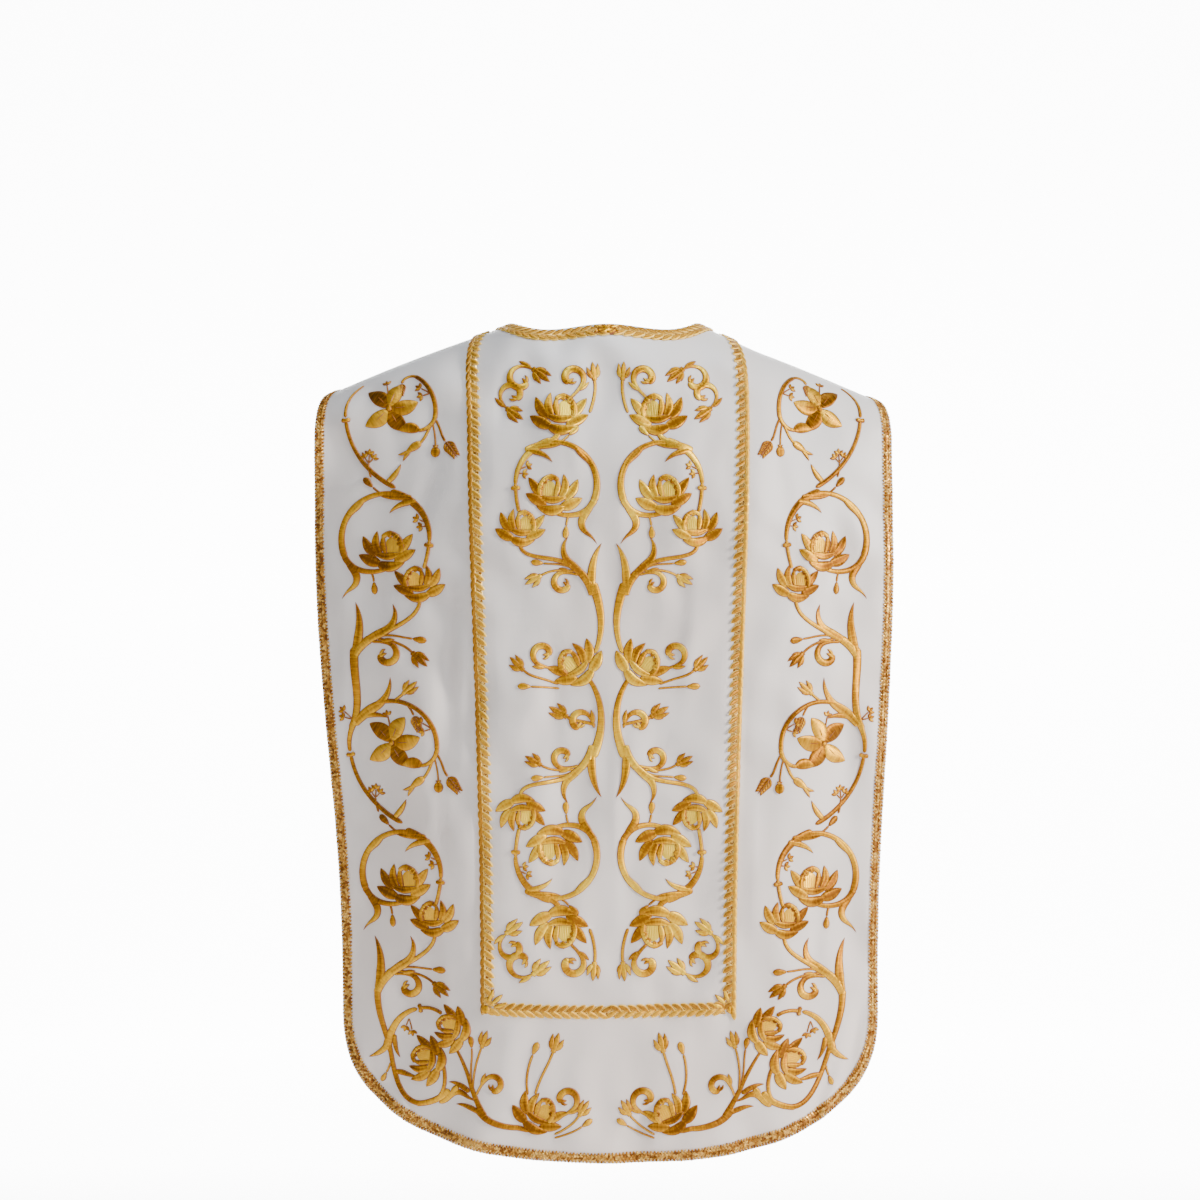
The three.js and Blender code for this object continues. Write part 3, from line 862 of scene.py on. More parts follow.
@dataclass(frozen=True)
class Sprig:
    """A place in the drawing where something grows: which way, how large, and on which hand it turns."""

    x: float
    y: float
    heading: float = 90
    size: float = 1.0
    hand: int = 1

    def of(self, *points: Point) -> Array:
        """Places given along and to the left of the heading, in the drawing."""
        local = np.asarray(points, float) * self.size
        angle = math.radians(self.heading)
        ahead = np.array([math.cos(angle), math.sin(angle)])
        left = np.array([-ahead[1], ahead[0]]) * self.hand
        return np.array([self.x, self.y]) + local[:, :1] * ahead + local[:, 1:] * left

    def at(self, along: float, across: float, turn: float = 0, size: float = 1.0) -> "Sprig":
        """Another place, given from this one and turned from it."""
        x, y = self.of((along, across))[0]
        return Sprig(x, y, self.heading + turn * self.hand, self.size * size, self.hand)

    def turned(self, turn: float, size: float = 1.0) -> "Sprig":
        """This place with another heading."""
        return self.at(0, 0, turn, size)

    def other(self) -> "Sprig":
        """This place, with what grows from it turning the other way."""
        return replace(self, hand=-self.hand)

    def on_ring(self, radius: float, angle: float) -> "Sprig":
        """A place on a ring round this one, at an angle from its heading, that follows the ring."""
        a = math.radians(angle)
        return self.at(radius * math.cos(a), radius * math.sin(a), angle + 90)

    def grown(self, *runs: Point) -> tuple[Array, "Sprig"]:
        """Grows in arcs.

        Args:
            runs: The length of each arc, and the degrees that it turns through.

        Returns:
            The places that it passes, and the place where it ends.
        """
        place, heading = np.array([self.x, self.y]), math.radians(self.heading)
        places = [place]
        for length, turn in runs:
            count = max(3, round(length / 7))
            bend = math.radians(turn) * self.hand / count
            for _ in range(count):
                ahead = np.array([math.cos(heading + bend / 2), math.sin(heading + bend / 2)])
                place = place + ahead * self.size * length / count
                heading += bend
                places.append(place)
        return np.array(places), replace(self, x=float(place[0]), y=float(place[1]),
                                         heading=math.degrees(heading))


@dataclass
class Drawing:
    """Padded strokes in millimetres: x from the garment's axis, y the height in the flat pattern."""

    strokes: list[Stroke] = field(default_factory=list)

    def petal(self, at: Sprig, *points: Point, width: float, shape: Shape = Shape.PETAL, rise: float = 1.5,
              groove: bool = False, bare: bool = False) -> None:
        """One patch of a motif."""
        self.strokes.append(Stroke(at.of(*points), width * at.size, shape, rise, groove, bare=bare))

    # stems and leaves

    def bough(self, at: Sprig, start: float, end: float, *runs: Point) -> Sprig:
        """A padded stem whose width goes from start to end. Returns the place where it ends."""
        spine, last = at.at(-3.5, 0).grown((3.5, 0), *runs)
        self.strokes.append(Stroke(spine, start * at.size, Shape.STEM, 1.9, taper=end / start))
        return last

    def link(self, at: Sprig, to: Sprig, start: float, end: float) -> None:
        """A stem that leaves one place along its heading and reaches another along that one's."""
        at, to = at.at(-3.5, 0), to.at(3.5, 0)
        a, b = np.array([at.x, at.y]), np.array([to.x, to.y])
        reach = 1.1 * float(np.hypot(*(b - a)))
        pull = [np.array([math.cos(math.radians(h)),
                          math.sin(math.radians(h))]) * reach for h in (at.heading, to.heading)]
        t = np.linspace(0, 1, 9)[:, None]
        spine = ((1 + 2 * t) * (1 - t) ** 2 * a + t * (1 - t) ** 2 * pull[0] + t**2 * (3 - 2 * t) * b
                 - t**2 * (1 - t) * pull[1])
        self.strokes.append(Stroke(spine, start, Shape.STEM, 1.9, taper=end / start))

    def blade(self, at: Sprig, width: float, *runs: Point) -> Sprig:
        """A leaf that grows out of a stem and ends in a point."""
        spine, last = at.grown(*runs)
        self.strokes.append(Stroke(spine, width * at.size, Shape.BLADE, 2.0, groove=width > 9))
        return last

    def ribbon(self, at: Sprig, width: float, *runs: Point) -> None:
        """The waved end of a stem."""
        spine, _ = at.grown(*runs)
        self.strokes.append(Stroke(spine, width * at.size, Shape.RIBBON, 1.7))

    def scroll(self, at: Sprig, width: float, lead: float, radius: float, sweep: float,
               flower: float = 0) -> None:
        """A comma-shaped scroll with a leaf at its start and teeth in its head.

        Args:
            at: Where it grows from.
            width: Its full width.
            lead: The length before it rolls up.
            radius: Radius of its first turn.
            sweep: Degrees that it rolls through.
            flower: The size of a tulip on its back, or 0 for none.
        """
        begun, start = at.grown((lead, 18))
        rolled = [((radius * (1 - 0.09 * k)) * math.radians(sweep / 5), sweep / 5) for k in range(5)]
        arc, end = start.grown(*rolled)
        self.strokes.append(Stroke(np.vstack([begun, arc[1:]]), width * at.size, Shape.COMMA, 2.1))
        hook = start.other()
        self.petal(hook, (-9, 0), (0, 3.4), (7.5, 5.6), width=6.2, shape=Shape.LEAF, rise=1.9)
        self.petal(end, (-6, 0), (0, 4), (2.5, 8.2), width=5, shape=Shape.LEAF, rise=1.9)
        self.petal(end, (-3, 0), (4.5, 2.5), (7, 6), width=4.5, shape=Shape.LEAF, rise=1.8)
        if flower:
            self.tulip(at.turned(180 - 14, flower))

    def collar(self, at: Sprig) -> None:
        """A collar across a stem."""
        self.petal(at, (-0.6, -5.8), (1, 0), (-0.6, 5.8), width=5.4, shape=Shape.STEM, rise=2.9)

    # what a stalk ends in

    def bud(self, at: Sprig) -> None:
        """An egg-shaped bud."""
        self.petal(at, (-1, 0), (15.5, 0), width=9, rise=2.2)

    def berry(self, at: Sprig) -> None:
        """A round bud with a seam and a calyx."""
        self.petal(at, (0, 0), (14, 0), width=12.5, shape=Shape.DISC, rise=2.4, groove=True)
        self.petal(at, (-2, -3.6), (0.5, 0), (-2, 3.6), width=4, shape=Shape.LEAF, rise=2.4)

    def tulip(self, at: Sprig) -> None:
        """Three pointed petals and two sepals on a cup."""
        self.petal(at, (-2.5, 0), (8, 0), width=7, shape=Shape.STEM, rise=1.7)
        self.petal(at, (2, 0), (24, 1), width=8, shape=Shape.LEAF, rise=2.0)
        for side, reach in ((1, 21), (-1, 18)):
            self.petal(at, (1, side * 1.8), (9, side * 5.4), (reach, side * 7.6), width=6.6,
                       shape=Shape.LEAF, rise=1.8)
            self.petal(at, (1, side * 2.2), (6, side * 6.4), (11, side * 9.6), width=4.2, shape=Shape.LEAF,
                       rise=1.5)

    def trefoil(self, at: Sprig) -> None:
        """Three little lobes."""
        for turn in (-52, 0, 52):
            self.petal(at.turned(turn), (0, 0), (7.6, 0), width=4.6, shape=Shape.LEAF, rise=1.5)

    def feather(self, at: Sprig) -> None:
        """A leaf of many narrow leaflets."""
        self.petal(at, (0, 0), (29, 0), width=5, shape=Shape.BLADE, rise=1.8)
        for k in range(5):
            along = 1 + 5 * k
            reach = 13 - 1.4 * k
            for side in (1, -1):
                self.petal(at, (along, side), (along + reach * 0.5, side * reach * 0.5),
                           (along + reach, side * reach * 0.62), width=4.8, shape=Shape.LEAF, rise=1.6)

    def pod(self, at: Sprig) -> None:
        """A half-open trumpet."""
        self.petal(at, (-5, 0), (9, 1), (21, 0), width=10.5, shape=Shape.DROP, rise=2.2)
        for side in (1, -1):
            self.petal(at, (11, side), (19, side * 1.8), (26, side * 5), width=4.8, shape=Shape.LEAF,
                       rise=1.8)

    def stalk(self, at: Sprig, tip: Callable[[Sprig], None], size: float, *runs: Point,
              width: float = 3.2) -> None:
        """A thin stalk that ends in a bud or a flower."""
        spine, end = at.grown(*runs)
        self.strokes.append(Stroke(spine, width * at.size, Shape.STEM, 1.3))
        tip(end.turned(0, size))

    def spray(self, at: Sprig, *twigs: Point) -> None:
        """Thin twigs with trefoils, given by their lengths and turns."""
        for length, turn in twigs:
            self.stalk(at.turned(turn), self.trefoil, 1.0, (length, -turn * 0.3), width=2)

    # flowers

    def lily(self, at: Sprig) -> None:
        """An open lily: five broad pointed petals, and a long stamen along its heading."""
        for k, turn in enumerate((46, -28, -82, 128, -146)):
            part = at.turned(turn)
            bend = 2.4 if k % 2 else -2.4
            self.petal(part, (1.5, 0), (15, bend), (33, -bend * 0.4), width=19, shape=Shape.LEAF, rise=1.7)
            self.petal(part, (6, bend * 0.4), (21, bend), width=2, shape=Shape.LEAF, rise=2.4)
        self.petal(at, (-3.5, 0), (3.5, 0), width=7, shape=Shape.DISC, rise=2.6)
        self.stalk(at, self.trefoil, 0.9, (31, 12), width=1.9)

    def rose(self, at: Sprig) -> None:
        """A rose seen from the side, on its stem: a hatched heart under an arch, tall petals on both hands,
        and broad veined petals below."""
        self.petal(at, (-3, 1), (7, 1), width=8, shape=Shape.STEM, rise=1.8)
        self.petal(at, (17, -8), (40, -7), width=20, shape=Shape.DISC, rise=0.35, bare=True)
        for k in range(6):
            across = -1 - 2.8 * k
            top = 39 - 0.07 * (across + 8) ** 2
            self.petal(at, (19 + 0.6 * (k % 2), across), (top, across - 1.6), width=1.5, shape=Shape.LEAF,
                       rise=0.8, bare=True)
        self.petal(at, (18, -15), (31, -24), (42, -33), width=12.5, shape=Shape.LEAF, rise=1.8, groove=True)
        self.petal(at, (17, 12), (29, 22), (44, 28), width=13, shape=Shape.LEAF, rise=1.9, groove=True)
        self.petal(at, (17, 7), (33, 13), (49, 10), width=11, shape=Shape.LEAF, rise=2.1, groove=True)
        self.petal(at, (18, 1), (33, 4), (45, 2), width=8, shape=Shape.LEAF, rise=2.1)
        self.petal(at, (40, 5), (45, -4), (41, -13), (33, -18), (25, -19), (18, -17), width=6.6,
                   shape=Shape.STEM, rise=2.4)
        for along, across, turn in ((43.5, -5, 170), (39, -13, 135), (31, -17, 100)):
            self.petal(at.at(along, across, turn), (-5, 0), (4.6, 0), width=9.6, shape=Shape.LEAF, rise=2.5,
                       groove=True)
        self.petal(at, (9, -8), (15, -21), (22, -35), width=14, shape=Shape.LEAF, rise=2.2, groove=True)
        self.petal(at, (7, 7), (12, 20), (21, 35), width=15, shape=Shape.LEAF, rise=2.2, groove=True)
        self.petal(at, (21, 16), (16, -2), (20, -22), width=10, shape=Shape.LEAF, rise=2.5, groove=True)
        self.petal(at, (9, 15), (3, -2), (7, -21), width=14, shape=Shape.LEAF, rise=2.8, groove=True)

    def mesh(self, lay: Callable[[Array, Array], tuple[Array, Array]], into: Weaving, mirror: bool) -> None:
        """Lays the drawing on the cloth.

        Args:
            lay: Takes x and y of the drawing to u and v.
            into: Gathers the points and faces.
            mirror: Whether the faces' order is turned.
        """
        for stroke in self.strokes:
            rough = np.sum(np.linalg.norm(np.diff(stroke.spine, axis=0), axis=1))
            count = int(np.clip(rough / 2.2, 7, 60))
            spine = spline(stroke.spine, count)
            length = np.concatenate([[0], np.cumsum(np.linalg.norm(np.diff(spine, axis=0), axis=1))])
            s = length / length[-1]
            taper = 1 + (stroke.taper - 1) * s
            half = np.maximum(stroke.shape.width(s) * taper, 0.03) * stroke.width / 2
            w = np.array([-1, -0.84, -0.45, 0, 0.45, 0.84, 1]) if stroke.width > 4.2 else np.array([-1,
                                                                                                    -0.7, 0,
                                                                                                    0.7, 1])
            if stroke.groove:
                dome = np.array([-0.2, 0.66, 1, 0.62, 1, 0.66, -0.2])
            elif len(w) == 7:
                dome = np.array([-0.2, 0.58, 0.9, 1, 0.9, 0.58, -0.2])
            else:
                dome = np.array([-0.3, 0.7, 1, 0.7, -0.3])
            side = normals(spine)
            across = half[:, None] * w[None, :]
            x = spine[:, :1] + side[:, :1] * across
            y = spine[:, 1:] + side[:, 1:] * across
            fullness = np.sqrt(np.clip(half / half.max(), 0, 1))[:, None]
            lift = np.where(dome > 0, dome * stroke.rise * fullness, dome)
            u, v = lay(x, y)
            points = DRAPE.lay(u, v, lift).reshape(-1, 3)
            rows, columns = x.shape
            faces = grid_faces(rows, columns, mirror)
            last = columns - 1
            under = [(r * columns, r * columns + last, (r + 1) * columns + last,
                      (r + 1) * columns) for r in range(rows - 1)]
            ends = [tuple(range(columns)), tuple((rows - 1) * columns + c for c in range(last, -1, -1))]
            faces += [face[::-1] if mirror else face for face in under + ends]
            along = np.broadcast_to(length[:, None], x.shape)
            uvs = np.stack([along, across], axis=-1).reshape(-1, 2) * MM
            from_end = np.minimum(length, length[-1] - length)[:, None] + 0.15 * half[:,
                                                                                      None] + 6 * stroke.bare
            edge = np.minimum(half[:, None] * (1 - np.abs(w))[None, :] + 6 * stroke.bare, from_end)
            vein = np.broadcast_to(np.where(np.abs(w) < 0.1, 1.0, 0.0) * stroke.groove, x.shape)
            # Painted sheen: a stroke is painted lighter where its spine runs at 48 degrees in the drawing and
            # darker where it runs square to that, as satin thread lit from one way. The hatched rose heart
            # instead gets a fixed 1.4, its own paler look.
            lean = np.arctan2(side[:, 0], -side[:, 1])[:, None]
            tone = 0.5 + 0.5 * np.cos(2 * (lean - math.radians(48))) + 0 * x
            if stroke.bare:
                tone = np.full(x.shape, 1.4)
            into.add(points, faces, uvs, edge.ravel(), tone.ravel(), vein.ravel())


@dataclass
class ScrollWork(Drawing):
    """Rings, forks and sprays of the ornament, each laid out from its own place and heading."""

    def rose_ring(self, middle: Sprig, radius: float = 54, arm: float = 84,
                  spread: float = 38) -> tuple[Sprig, Sprig]:
        """A bough that rolls up round a rose, and an arm that bears a second rose below.

        Args:
            middle: The middle of the ring, heading towards the fork.
            radius: Radius of the ring.
            arm: Degrees of the ring that the arm follows.
            spread: How far the second rose stands from the middle line.

        Returns:
            The fork, and the foot of the second rose.
        """
        fork = middle.on_ring(radius, -12)
        loop = self.bough(fork, 6, 9.5, (radius * math.radians(128), 128))
        self.bough(loop.at(-3, 0), 9, 5.5, (radius * 0.46, 48), (radius * 0.6, 40))
        self.ribbon(loop.at(-6, 0, 4), 10.5, (24, 6), (22, -92), (18, 26))
        self.blade(middle.on_ring(radius, 30).turned(22), 7.5, (18, -8), (14, 34))
        self.stalk(fork.at(15, 4, -16), self.bud, 1.0, (17, -18))
        self.stalk(middle.at(-radius * 0.68, radius * 0.36, 204), self.bud, 0.95, (15, -20))
        down = fork.turned(180).other()
        branch = self.bough(down.at(-6, 0), 12, 5.2, (radius * math.radians(arm), arm))
        self.blade(down.at(18, 1, 176), 9.5, (20, -8), (22, 20))
        self.blade(down.at(24, 4, 166), 8.5, (16, -16), (20, -34))
        self.spray(middle.on_ring(radius - 2, -72).turned(62), (10, 24), (16, -18))
        self.bough(branch.at(1, 0), 5, 5, (31, 12))
        self.collar(branch.at(3, 0))
        self.rose(middle.at(-radius * 0.66, -1, 4, 0.96))
        second = replace(middle.at(-radius * 0.66 - 37, -spread, 2, 0.86), hand=-middle.hand)
        self.rose(second)
        return fork, second

    def leafy_fork(self, at: Sprig, rose: Sprig) -> None:
        """The leafy ends of a bough, with a stem to a rose, a bud, a tulip and a scroll."""
        self.blade(at.turned(-14), 13, (34, 14), (34, 26))
        main = self.bough(at.turned(-22), 10, 11, (32, -30))
        self.blade(main.at(-8, 0), 12.5, (26, -6), (38, 92))
        self.blade(at.at(10, -3, -24), 8, (16, -40), (14, -14))
        self.link(main.at(14, -3, 0), rose, 6.5, 4.8)
        self.stalk(main.at(12, -4, -24), self.bud, 1.05, (22, -20), (16, 4))
        self.stalk(main.at(6, -5, -34), self.tulip, 0.98, (24, -18), (22, -26), width=3.8)
        self.scroll(main.at(-2, -4, -26).other(), 9.5, 20, 13, 270)

    def lily_ring(self, middle: Sprig, radius: float, whole: bool) -> Sprig:
        """A bough that rolls up round a lily and hangs with a pod, a berry and a feathered leaf.

        Args:
            middle: The middle of the ring, heading up.
            radius: Radius of the ring.
            whole: Whether the ring starts from a fork above, or ends there in thin tips.

        Returns:
            The top of its outer arm.
        """
        turn = 148 if whole else 68
        start = middle.on_ring(radius, 48 if whole else -34).turned(180).other()
        low = self.bough(start, 5.5, 6.5, (radius * math.radians(turn), turn))
        end = self.bough(low.at(-3, 0), 6.5, 4.6, (28, 76))
        self.petal(end.at(-3, 0, 10), (0, 0), (12, 2), (26, -2), width=14, shape=Shape.LEAF, rise=2.0)
        if whole:
            top = middle.on_ring(radius, -2).turned(180).other()
            self.stalk(top.turned(-34), self.tulip, 0.9, (16, -12), width=4)
            self.stalk(top.at(16, 3, 44), self.feather, 0.72, (16, 24), width=3)
        else:
            self.stalk(start.turned(180).other(), self.feather, 0.62, (14, 74), (9, 50), width=4.4)
        self.spray(middle.on_ring(radius - 2, -66).turned(56), (9, 34), (13, -26))
        self.lily(middle.at(3, 1, 2, 1.06))
        self.stalk(low.at(2, 2, 8), self.pod, 1.0, (20, 6), (14, 26), width=4.2)
        self.stalk(low.at(6, 1, -26), self.berry, 0.95, (28, 14), width=2.8)
        self.stalk(low.at(0, -1, -40), self.feather, 0.85, (18, 12), (12, -20), width=3.6)
        side = middle.on_ring(radius, 62 if whole else 46)
        upper = self.bough(side, 8 if whole else 3, 5,
                           (radius * math.radians(38 if whole else 52), 38 if whole else 52))
        self.collar(upper.at(3, 0))
        arm = self.bough(upper.at(6, 0), 5, 6.5, (46, 26), (58, 30))
        twig = self.bough(arm.at(-34, 1, 134), 2.8, 2.4, (16, -22))
        self.spray(twig.at(-1, 0), (8, 46), (10, 0), (7, -48))
        self.blade(arm.at(-12, 2, 66), 8.5, (15, 16), (12, 14))
        return side

    def end_spray(self, at: Sprig) -> None:
        """A rose at the end of the column, with a scroll and a tulip inside and two scrolls outside."""
        self.rose(replace(at, hand=-at.hand))
        self.scroll(at.at(42, 13, 50).other(), 10, 22, 13, 280)
        self.stalk(at.at(24, 36, 22), self.tulip, 0.92, (24, -14), (18, -16), width=4.4)
        self.scroll(at.at(78, -30, -62).other(), 9.4, 12, 15, 262, 1.05)
        self.scroll(at.at(30, -62, -44), 9, 12, 14, 268, 1.0)


def border_drawing() -> ScrollWork:
    """The ornament of the side of the back: rings of lilies and roses in turn, and leafy forks."""
    d = ScrollWork()
    below = None
    for top, lean, whole in ((-108, 0, False), (-510, 6, True)):
        lily = Sprig(-259 + 0.3 * lean, top)
        side = d.lily_ring(lily, 53, whole)
        _, foot = d.rose_ring(Sprig(-261 + 2.6 * lean, top - 155), 55 - 0.6 * lean)
        at = Sprig(-303 + 4 * lean, top - 297, 84 + lean)
        d.leafy_fork(at, foot)
        if whole:
            d.link(below, side.at(6, 0), 12, 8.5)
            d.blade(side.at(2, 1, 170), 13, (34, -22), (44, 64))
            d.blade(side.at(-14, 8, 140), 7.5, (18, -30), (12, -14))
            d.spray(side.at(-4, -4, -96), (10, 26), (14, -12))
        below = Sprig(at.x, at.y, at.heading + 180).at(-10, 0)
    return d


def column_drawing() -> ScrollWork:
    """Half of the column's ornament: a ring at each end, and a waved bough with a leaning rose between."""
    d = ScrollWork()
    forks = []
    for level, heading, hand in ((-200, 90, -1), (-638, 270, 1)):
        ring = Sprig(-65, level, heading, 1.0, hand)
        fork, foot = d.rose_ring(ring, 51, 80, 40)
        end = ring.at(62, 6)
        d.link(fork.at(-22, 3, -24), end, 8.5, 7)
        d.end_spray(end)
        at = ring.at(-128, 45, 8)
        d.leafy_fork(replace(at, size=0.9), foot)
        forks.append(at)
    top, low = forks
    leaning = Sprig(-25, -431, 124, 0.96, -1)
    d.link(top.at(10, 0, 150), Sprig(-15, -396, 248), 12.5, 5.5)
    d.link(Sprig(-24, -428, 308), low.at(10, 0, -34), 5.2, 12.5)
    d.rose(leaning)
    d.scroll(leaning.at(33, -24, -50), 9.2, 22, 13, 272)
    d.stalk(leaning.at(16, -32, -36), d.tulip, 0.95, (30, -4), (18, 26), width=3.8)
    d.stalk(leaning.at(11, -34, -50), d.bud, 1.05, (36, -4))
    d.scroll(low.at(-22, 6, 184), 9.2, 14, 12, 244)
    d.stalk(low.at(-26, 8, -112), d.tulip, 1.0, (22, 4), (14, -22), width=4.6)
    return d


def hem_drawing() -> ScrollWork:
    """The ornament that turns the corner and runs to the middle of the hem."""
    d = ScrollWork()
    start, cross = Sprig(-279, -806, 266), Sprig(-262, -880, 284)
    low, tip = Sprig(-222, -939, 4), Sprig(-188, -922, 52)
    d.link(start, cross, 9.5, 6.5)
    d.link(cross.at(-3, 0), low, 6.5, 7)
    d.link(low.at(-2, 0), tip, 7, 9)
    d.ribbon(low.at(24, 1, 12), 9, (16, 40), (20, -92), (20, 30))
    d.blade(cross.at(24, 1, 78), 8, (16, -20), (14, 20))
    arm = d.bough(Sprig(-267, -875, 84), 12, 5.5, (32, -26), (34, -46))
    d.blade(Sprig(-264, -866, 250), 9, (20, -38), (14, -12))
    d.blade(Sprig(-258, -858, 268), 7.5, (16, 18), (14, 22))
    d.collar(arm.at(3, 0))
    d.bough(arm.at(6, 0), 5, 5, (26, -44))
    d.spray(Sprig(-240, -838, 262), (10, -16), (15, 26))
    d.rose(Sprig(-167, -851, 170, 0.84))
    d.rose(Sprig(-195, -888, 178, 0.88))
    d.link(low.at(20, 4, 24), Sprig(-197, -888, 120), 5.5, 5)
    d.stalk(tip.at(-12, -2, -22), d.bud, 0.95, (12, 20))
    d.stalk(cross.at(12, -2, -26), d.bud, 0.8, (14, -14))
    sprig = Sprig(-142, -948, 124, 0.92)
    d.bough(sprig, 9, 3.6, (44, -14), (56, 14))
    d.stalk(sprig.at(44, -6, -26), d.bud, 0.95, (32, -10), (16, 10))
    d.stalk(sprig.at(36, -4, -30), d.tulip, 0.95, (34, -14), (24, -10), width=3.6)
    d.scroll(sprig.at(28, -4, -52).other(), 9, 24, 12, 262)
    d.blade(sprig.at(36, 1, 14), 8.5, (18, 20), (14, 24))
    d.blade(sprig.at(8, 4, 26), 8.5, (18, 14), (14, 20))
    run = d.bough(sprig.at(12, 3, 180), 10.5, 7.5, (26, 34), (36, 24))
    rose = Sprig(-88, -964, 66, 0.92)
    d.link(run.at(-2, 0), rose, 7, 6)
    d.rose(rose)
    d.stalk(rose.at(40, 22, 40), d.bud, 1.1, (30, -22), (24, -14), width=4)
    d.stalk(rose.at(44, 14, 12), d.tulip, 1.05, (34, -12), (26, 6), width=4.2)
    d.scroll(rose.at(30, -26, -44), 10, 22, 14, 268)
    d.stalk(rose.at(8, -30, -42), d.tulip, 0.95, (24, 14), (18, 18), width=3.6)
    d.stalk(rose.at(4, -32, -50), d.bud, 1.0, (24, 8), (16, 10))
    return d


def knots(lines: "ColumnLines") -> ScrollWork:
    """The oval knot at the nape, and the bead and leaves at the corner of the back column's foot."""
    d = ScrollWork()
    edge_inset, half_plait, off_centre = 2.5, 8.3, 0.6
    run = BACK.neck + edge_inset + half_plait
    nape = Sprig(off_centre, float(DRAPE.ridge_height(BACK, np.array(0.0))) - run, 180)
    for side in (1, -1):
        d.petal(nape, (-15, side * 5.5), (-5, side * 1.5), (6, side * 5.4), (13, side * 1), width=3.8,
                shape=Shape.STEM, rise=4.4)
        d.petal(nape, (-11, side * -1), (-4, side * -5.8), (6, side * -2), (15, side * -5), width=3.6,
                shape=Shape.STEM, rise=4.0)
    d.petal(nape, (-4, 0), (4, 0), width=8, shape=Shape.DISC, rise=5.2, groove=True)
    corner = Sprig(-float(lines.line(1, np.array(-lines.back_foot))), lines.back_foot - 2, 90)
    d.petal(corner, (-5.5, 0), (5.5, 0), width=11, shape=Shape.DISC, rise=4.6, groove=True)
    for turn in (18, 45, 72):
        d.petal(corner.other().turned(turn), (9, 0), (27, 1), width=6.4, shape=Shape.LEAF, rise=3.4)
    return d


@dataclass(frozen=True)
class Needlework:
    """The gold embroidery of one side, made for the left hand and mirrored for the right."""

    side: Side

    def place(self, hand: int) -> Callable[[Array, Array], tuple[Array, Array]]:
        """The way from the drawing to the cloth, for the left or the right hand."""

        def lay(x: Array, y: Array) -> tuple[Array, Array]:
            """Takes places in the drawing to u and v."""
            u = (x if hand < 0 else -x) - 5 * smooth((-y - 850) / 100)
            return u, self.side.facing * DRAPE.run_of(self.side, u, y)

        return lay

    def piece(self, name: str, drawing: Drawing, material: bpy.types.Material) -> bpy.types.Object:
        """Builds one piece of both hands."""
        made = Weaving()
        for hand in (-1, 1):
            drawing.mesh(self.place(hand), made, (hand > 0) != (self.side.facing < 0))
        return made.piece(name, material, 75)


# ---- trims ----


def set_on_points(name: str) -> bpy.types.NodeTree:
    """The tree that sets a small piece on each point of a path and joins the bed that carries them.

    Args:
        name: The tree's name.

    Returns:
        A geometry tree with named inputs for the piece, the bed, its sizes, its seed and its material.
    """
    tree = bpy.data.node_groups.new(name, "GeometryNodeTree")
    face = tree.interface
    face.new_socket(name="Points", in_out="INPUT", socket_type="NodeSocketGeometry")
    for label, kind in (("Piece", "Object"), ("Bed", "Object"), ("Size", "Float"), ("Unevenness", "Float"),
                        ("Seed", "Int"), ("Finish", "Material")):
        face.new_socket(name=label, in_out="INPUT", socket_type="NodeSocket" + kind)
    face.new_socket(name="Geometry", in_out="OUTPUT", socket_type="NodeSocketGeometry")

    def add(kind: str, **settings: object) -> bpy.types.Node:
        """Adds a node with its own properties."""
        made = tree.nodes.new(kind)
        for key, value in settings.items():
            setattr(made, key, value)
        return made

    link = tree.links.new
    source = add("NodeGroupInput")
    result = add("NodeGroupOutput")
    piece = add("GeometryNodeObjectInfo", transform_space="ORIGINAL")
    bed = add("GeometryNodeObjectInfo", transform_space="ORIGINAL")
    turn = add("GeometryNodeInputNamedAttribute", data_type="FLOAT_VECTOR")
    turn.inputs["Name"].default_value = "turn"
    low = add("ShaderNodeMath", operation="SUBTRACT")
    low.inputs[0].default_value = 1
    high = add("ShaderNodeMath", operation="ADD")
    high.inputs[0].default_value = 1
    chance = add("FunctionNodeRandomValue", data_type="FLOAT")
    grow = add("ShaderNodeMath", operation="MULTIPLY")
    setting = add("GeometryNodeInstanceOnPoints")
    real = add("GeometryNodeRealizeInstances")
    finish = add("GeometryNodeSetMaterial")
    both = add("GeometryNodeJoinGeometry")
    link(source.outputs["Points"], setting.inputs["Points"])
    link(source.outputs["Piece"], piece.inputs["Object"])
    link(source.outputs["Bed"], bed.inputs["Object"])
    link(piece.outputs["Geometry"], setting.inputs["Instance"])
    link(turn.outputs["Attribute"], setting.inputs["Rotation"])
    link(source.outputs["Unevenness"], low.inputs[1])
    link(source.outputs["Unevenness"], high.inputs[1])
    link(low.outputs[0], chance.inputs[2])
    link(high.outputs[0], chance.inputs[3])
    link(source.outputs["Seed"], chance.inputs["Seed"])
    link(chance.outputs[1], grow.inputs[0])
    link(source.outputs["Size"], grow.inputs[1])
    link(grow.outputs[0], setting.inputs["Scale"])
    link(setting.outputs["Instances"], real.inputs["Geometry"])
    link(real.outputs["Geometry"], finish.inputs["Geometry"])
    link(source.outputs["Finish"], finish.inputs["Material"])
    link(finish.outputs["Geometry"], both.inputs["Geometry"])
    link(bed.outputs["Geometry"], both.inputs["Geometry"])
    link(both.outputs["Geometry"], result.inputs["Geometry"])
    return tree


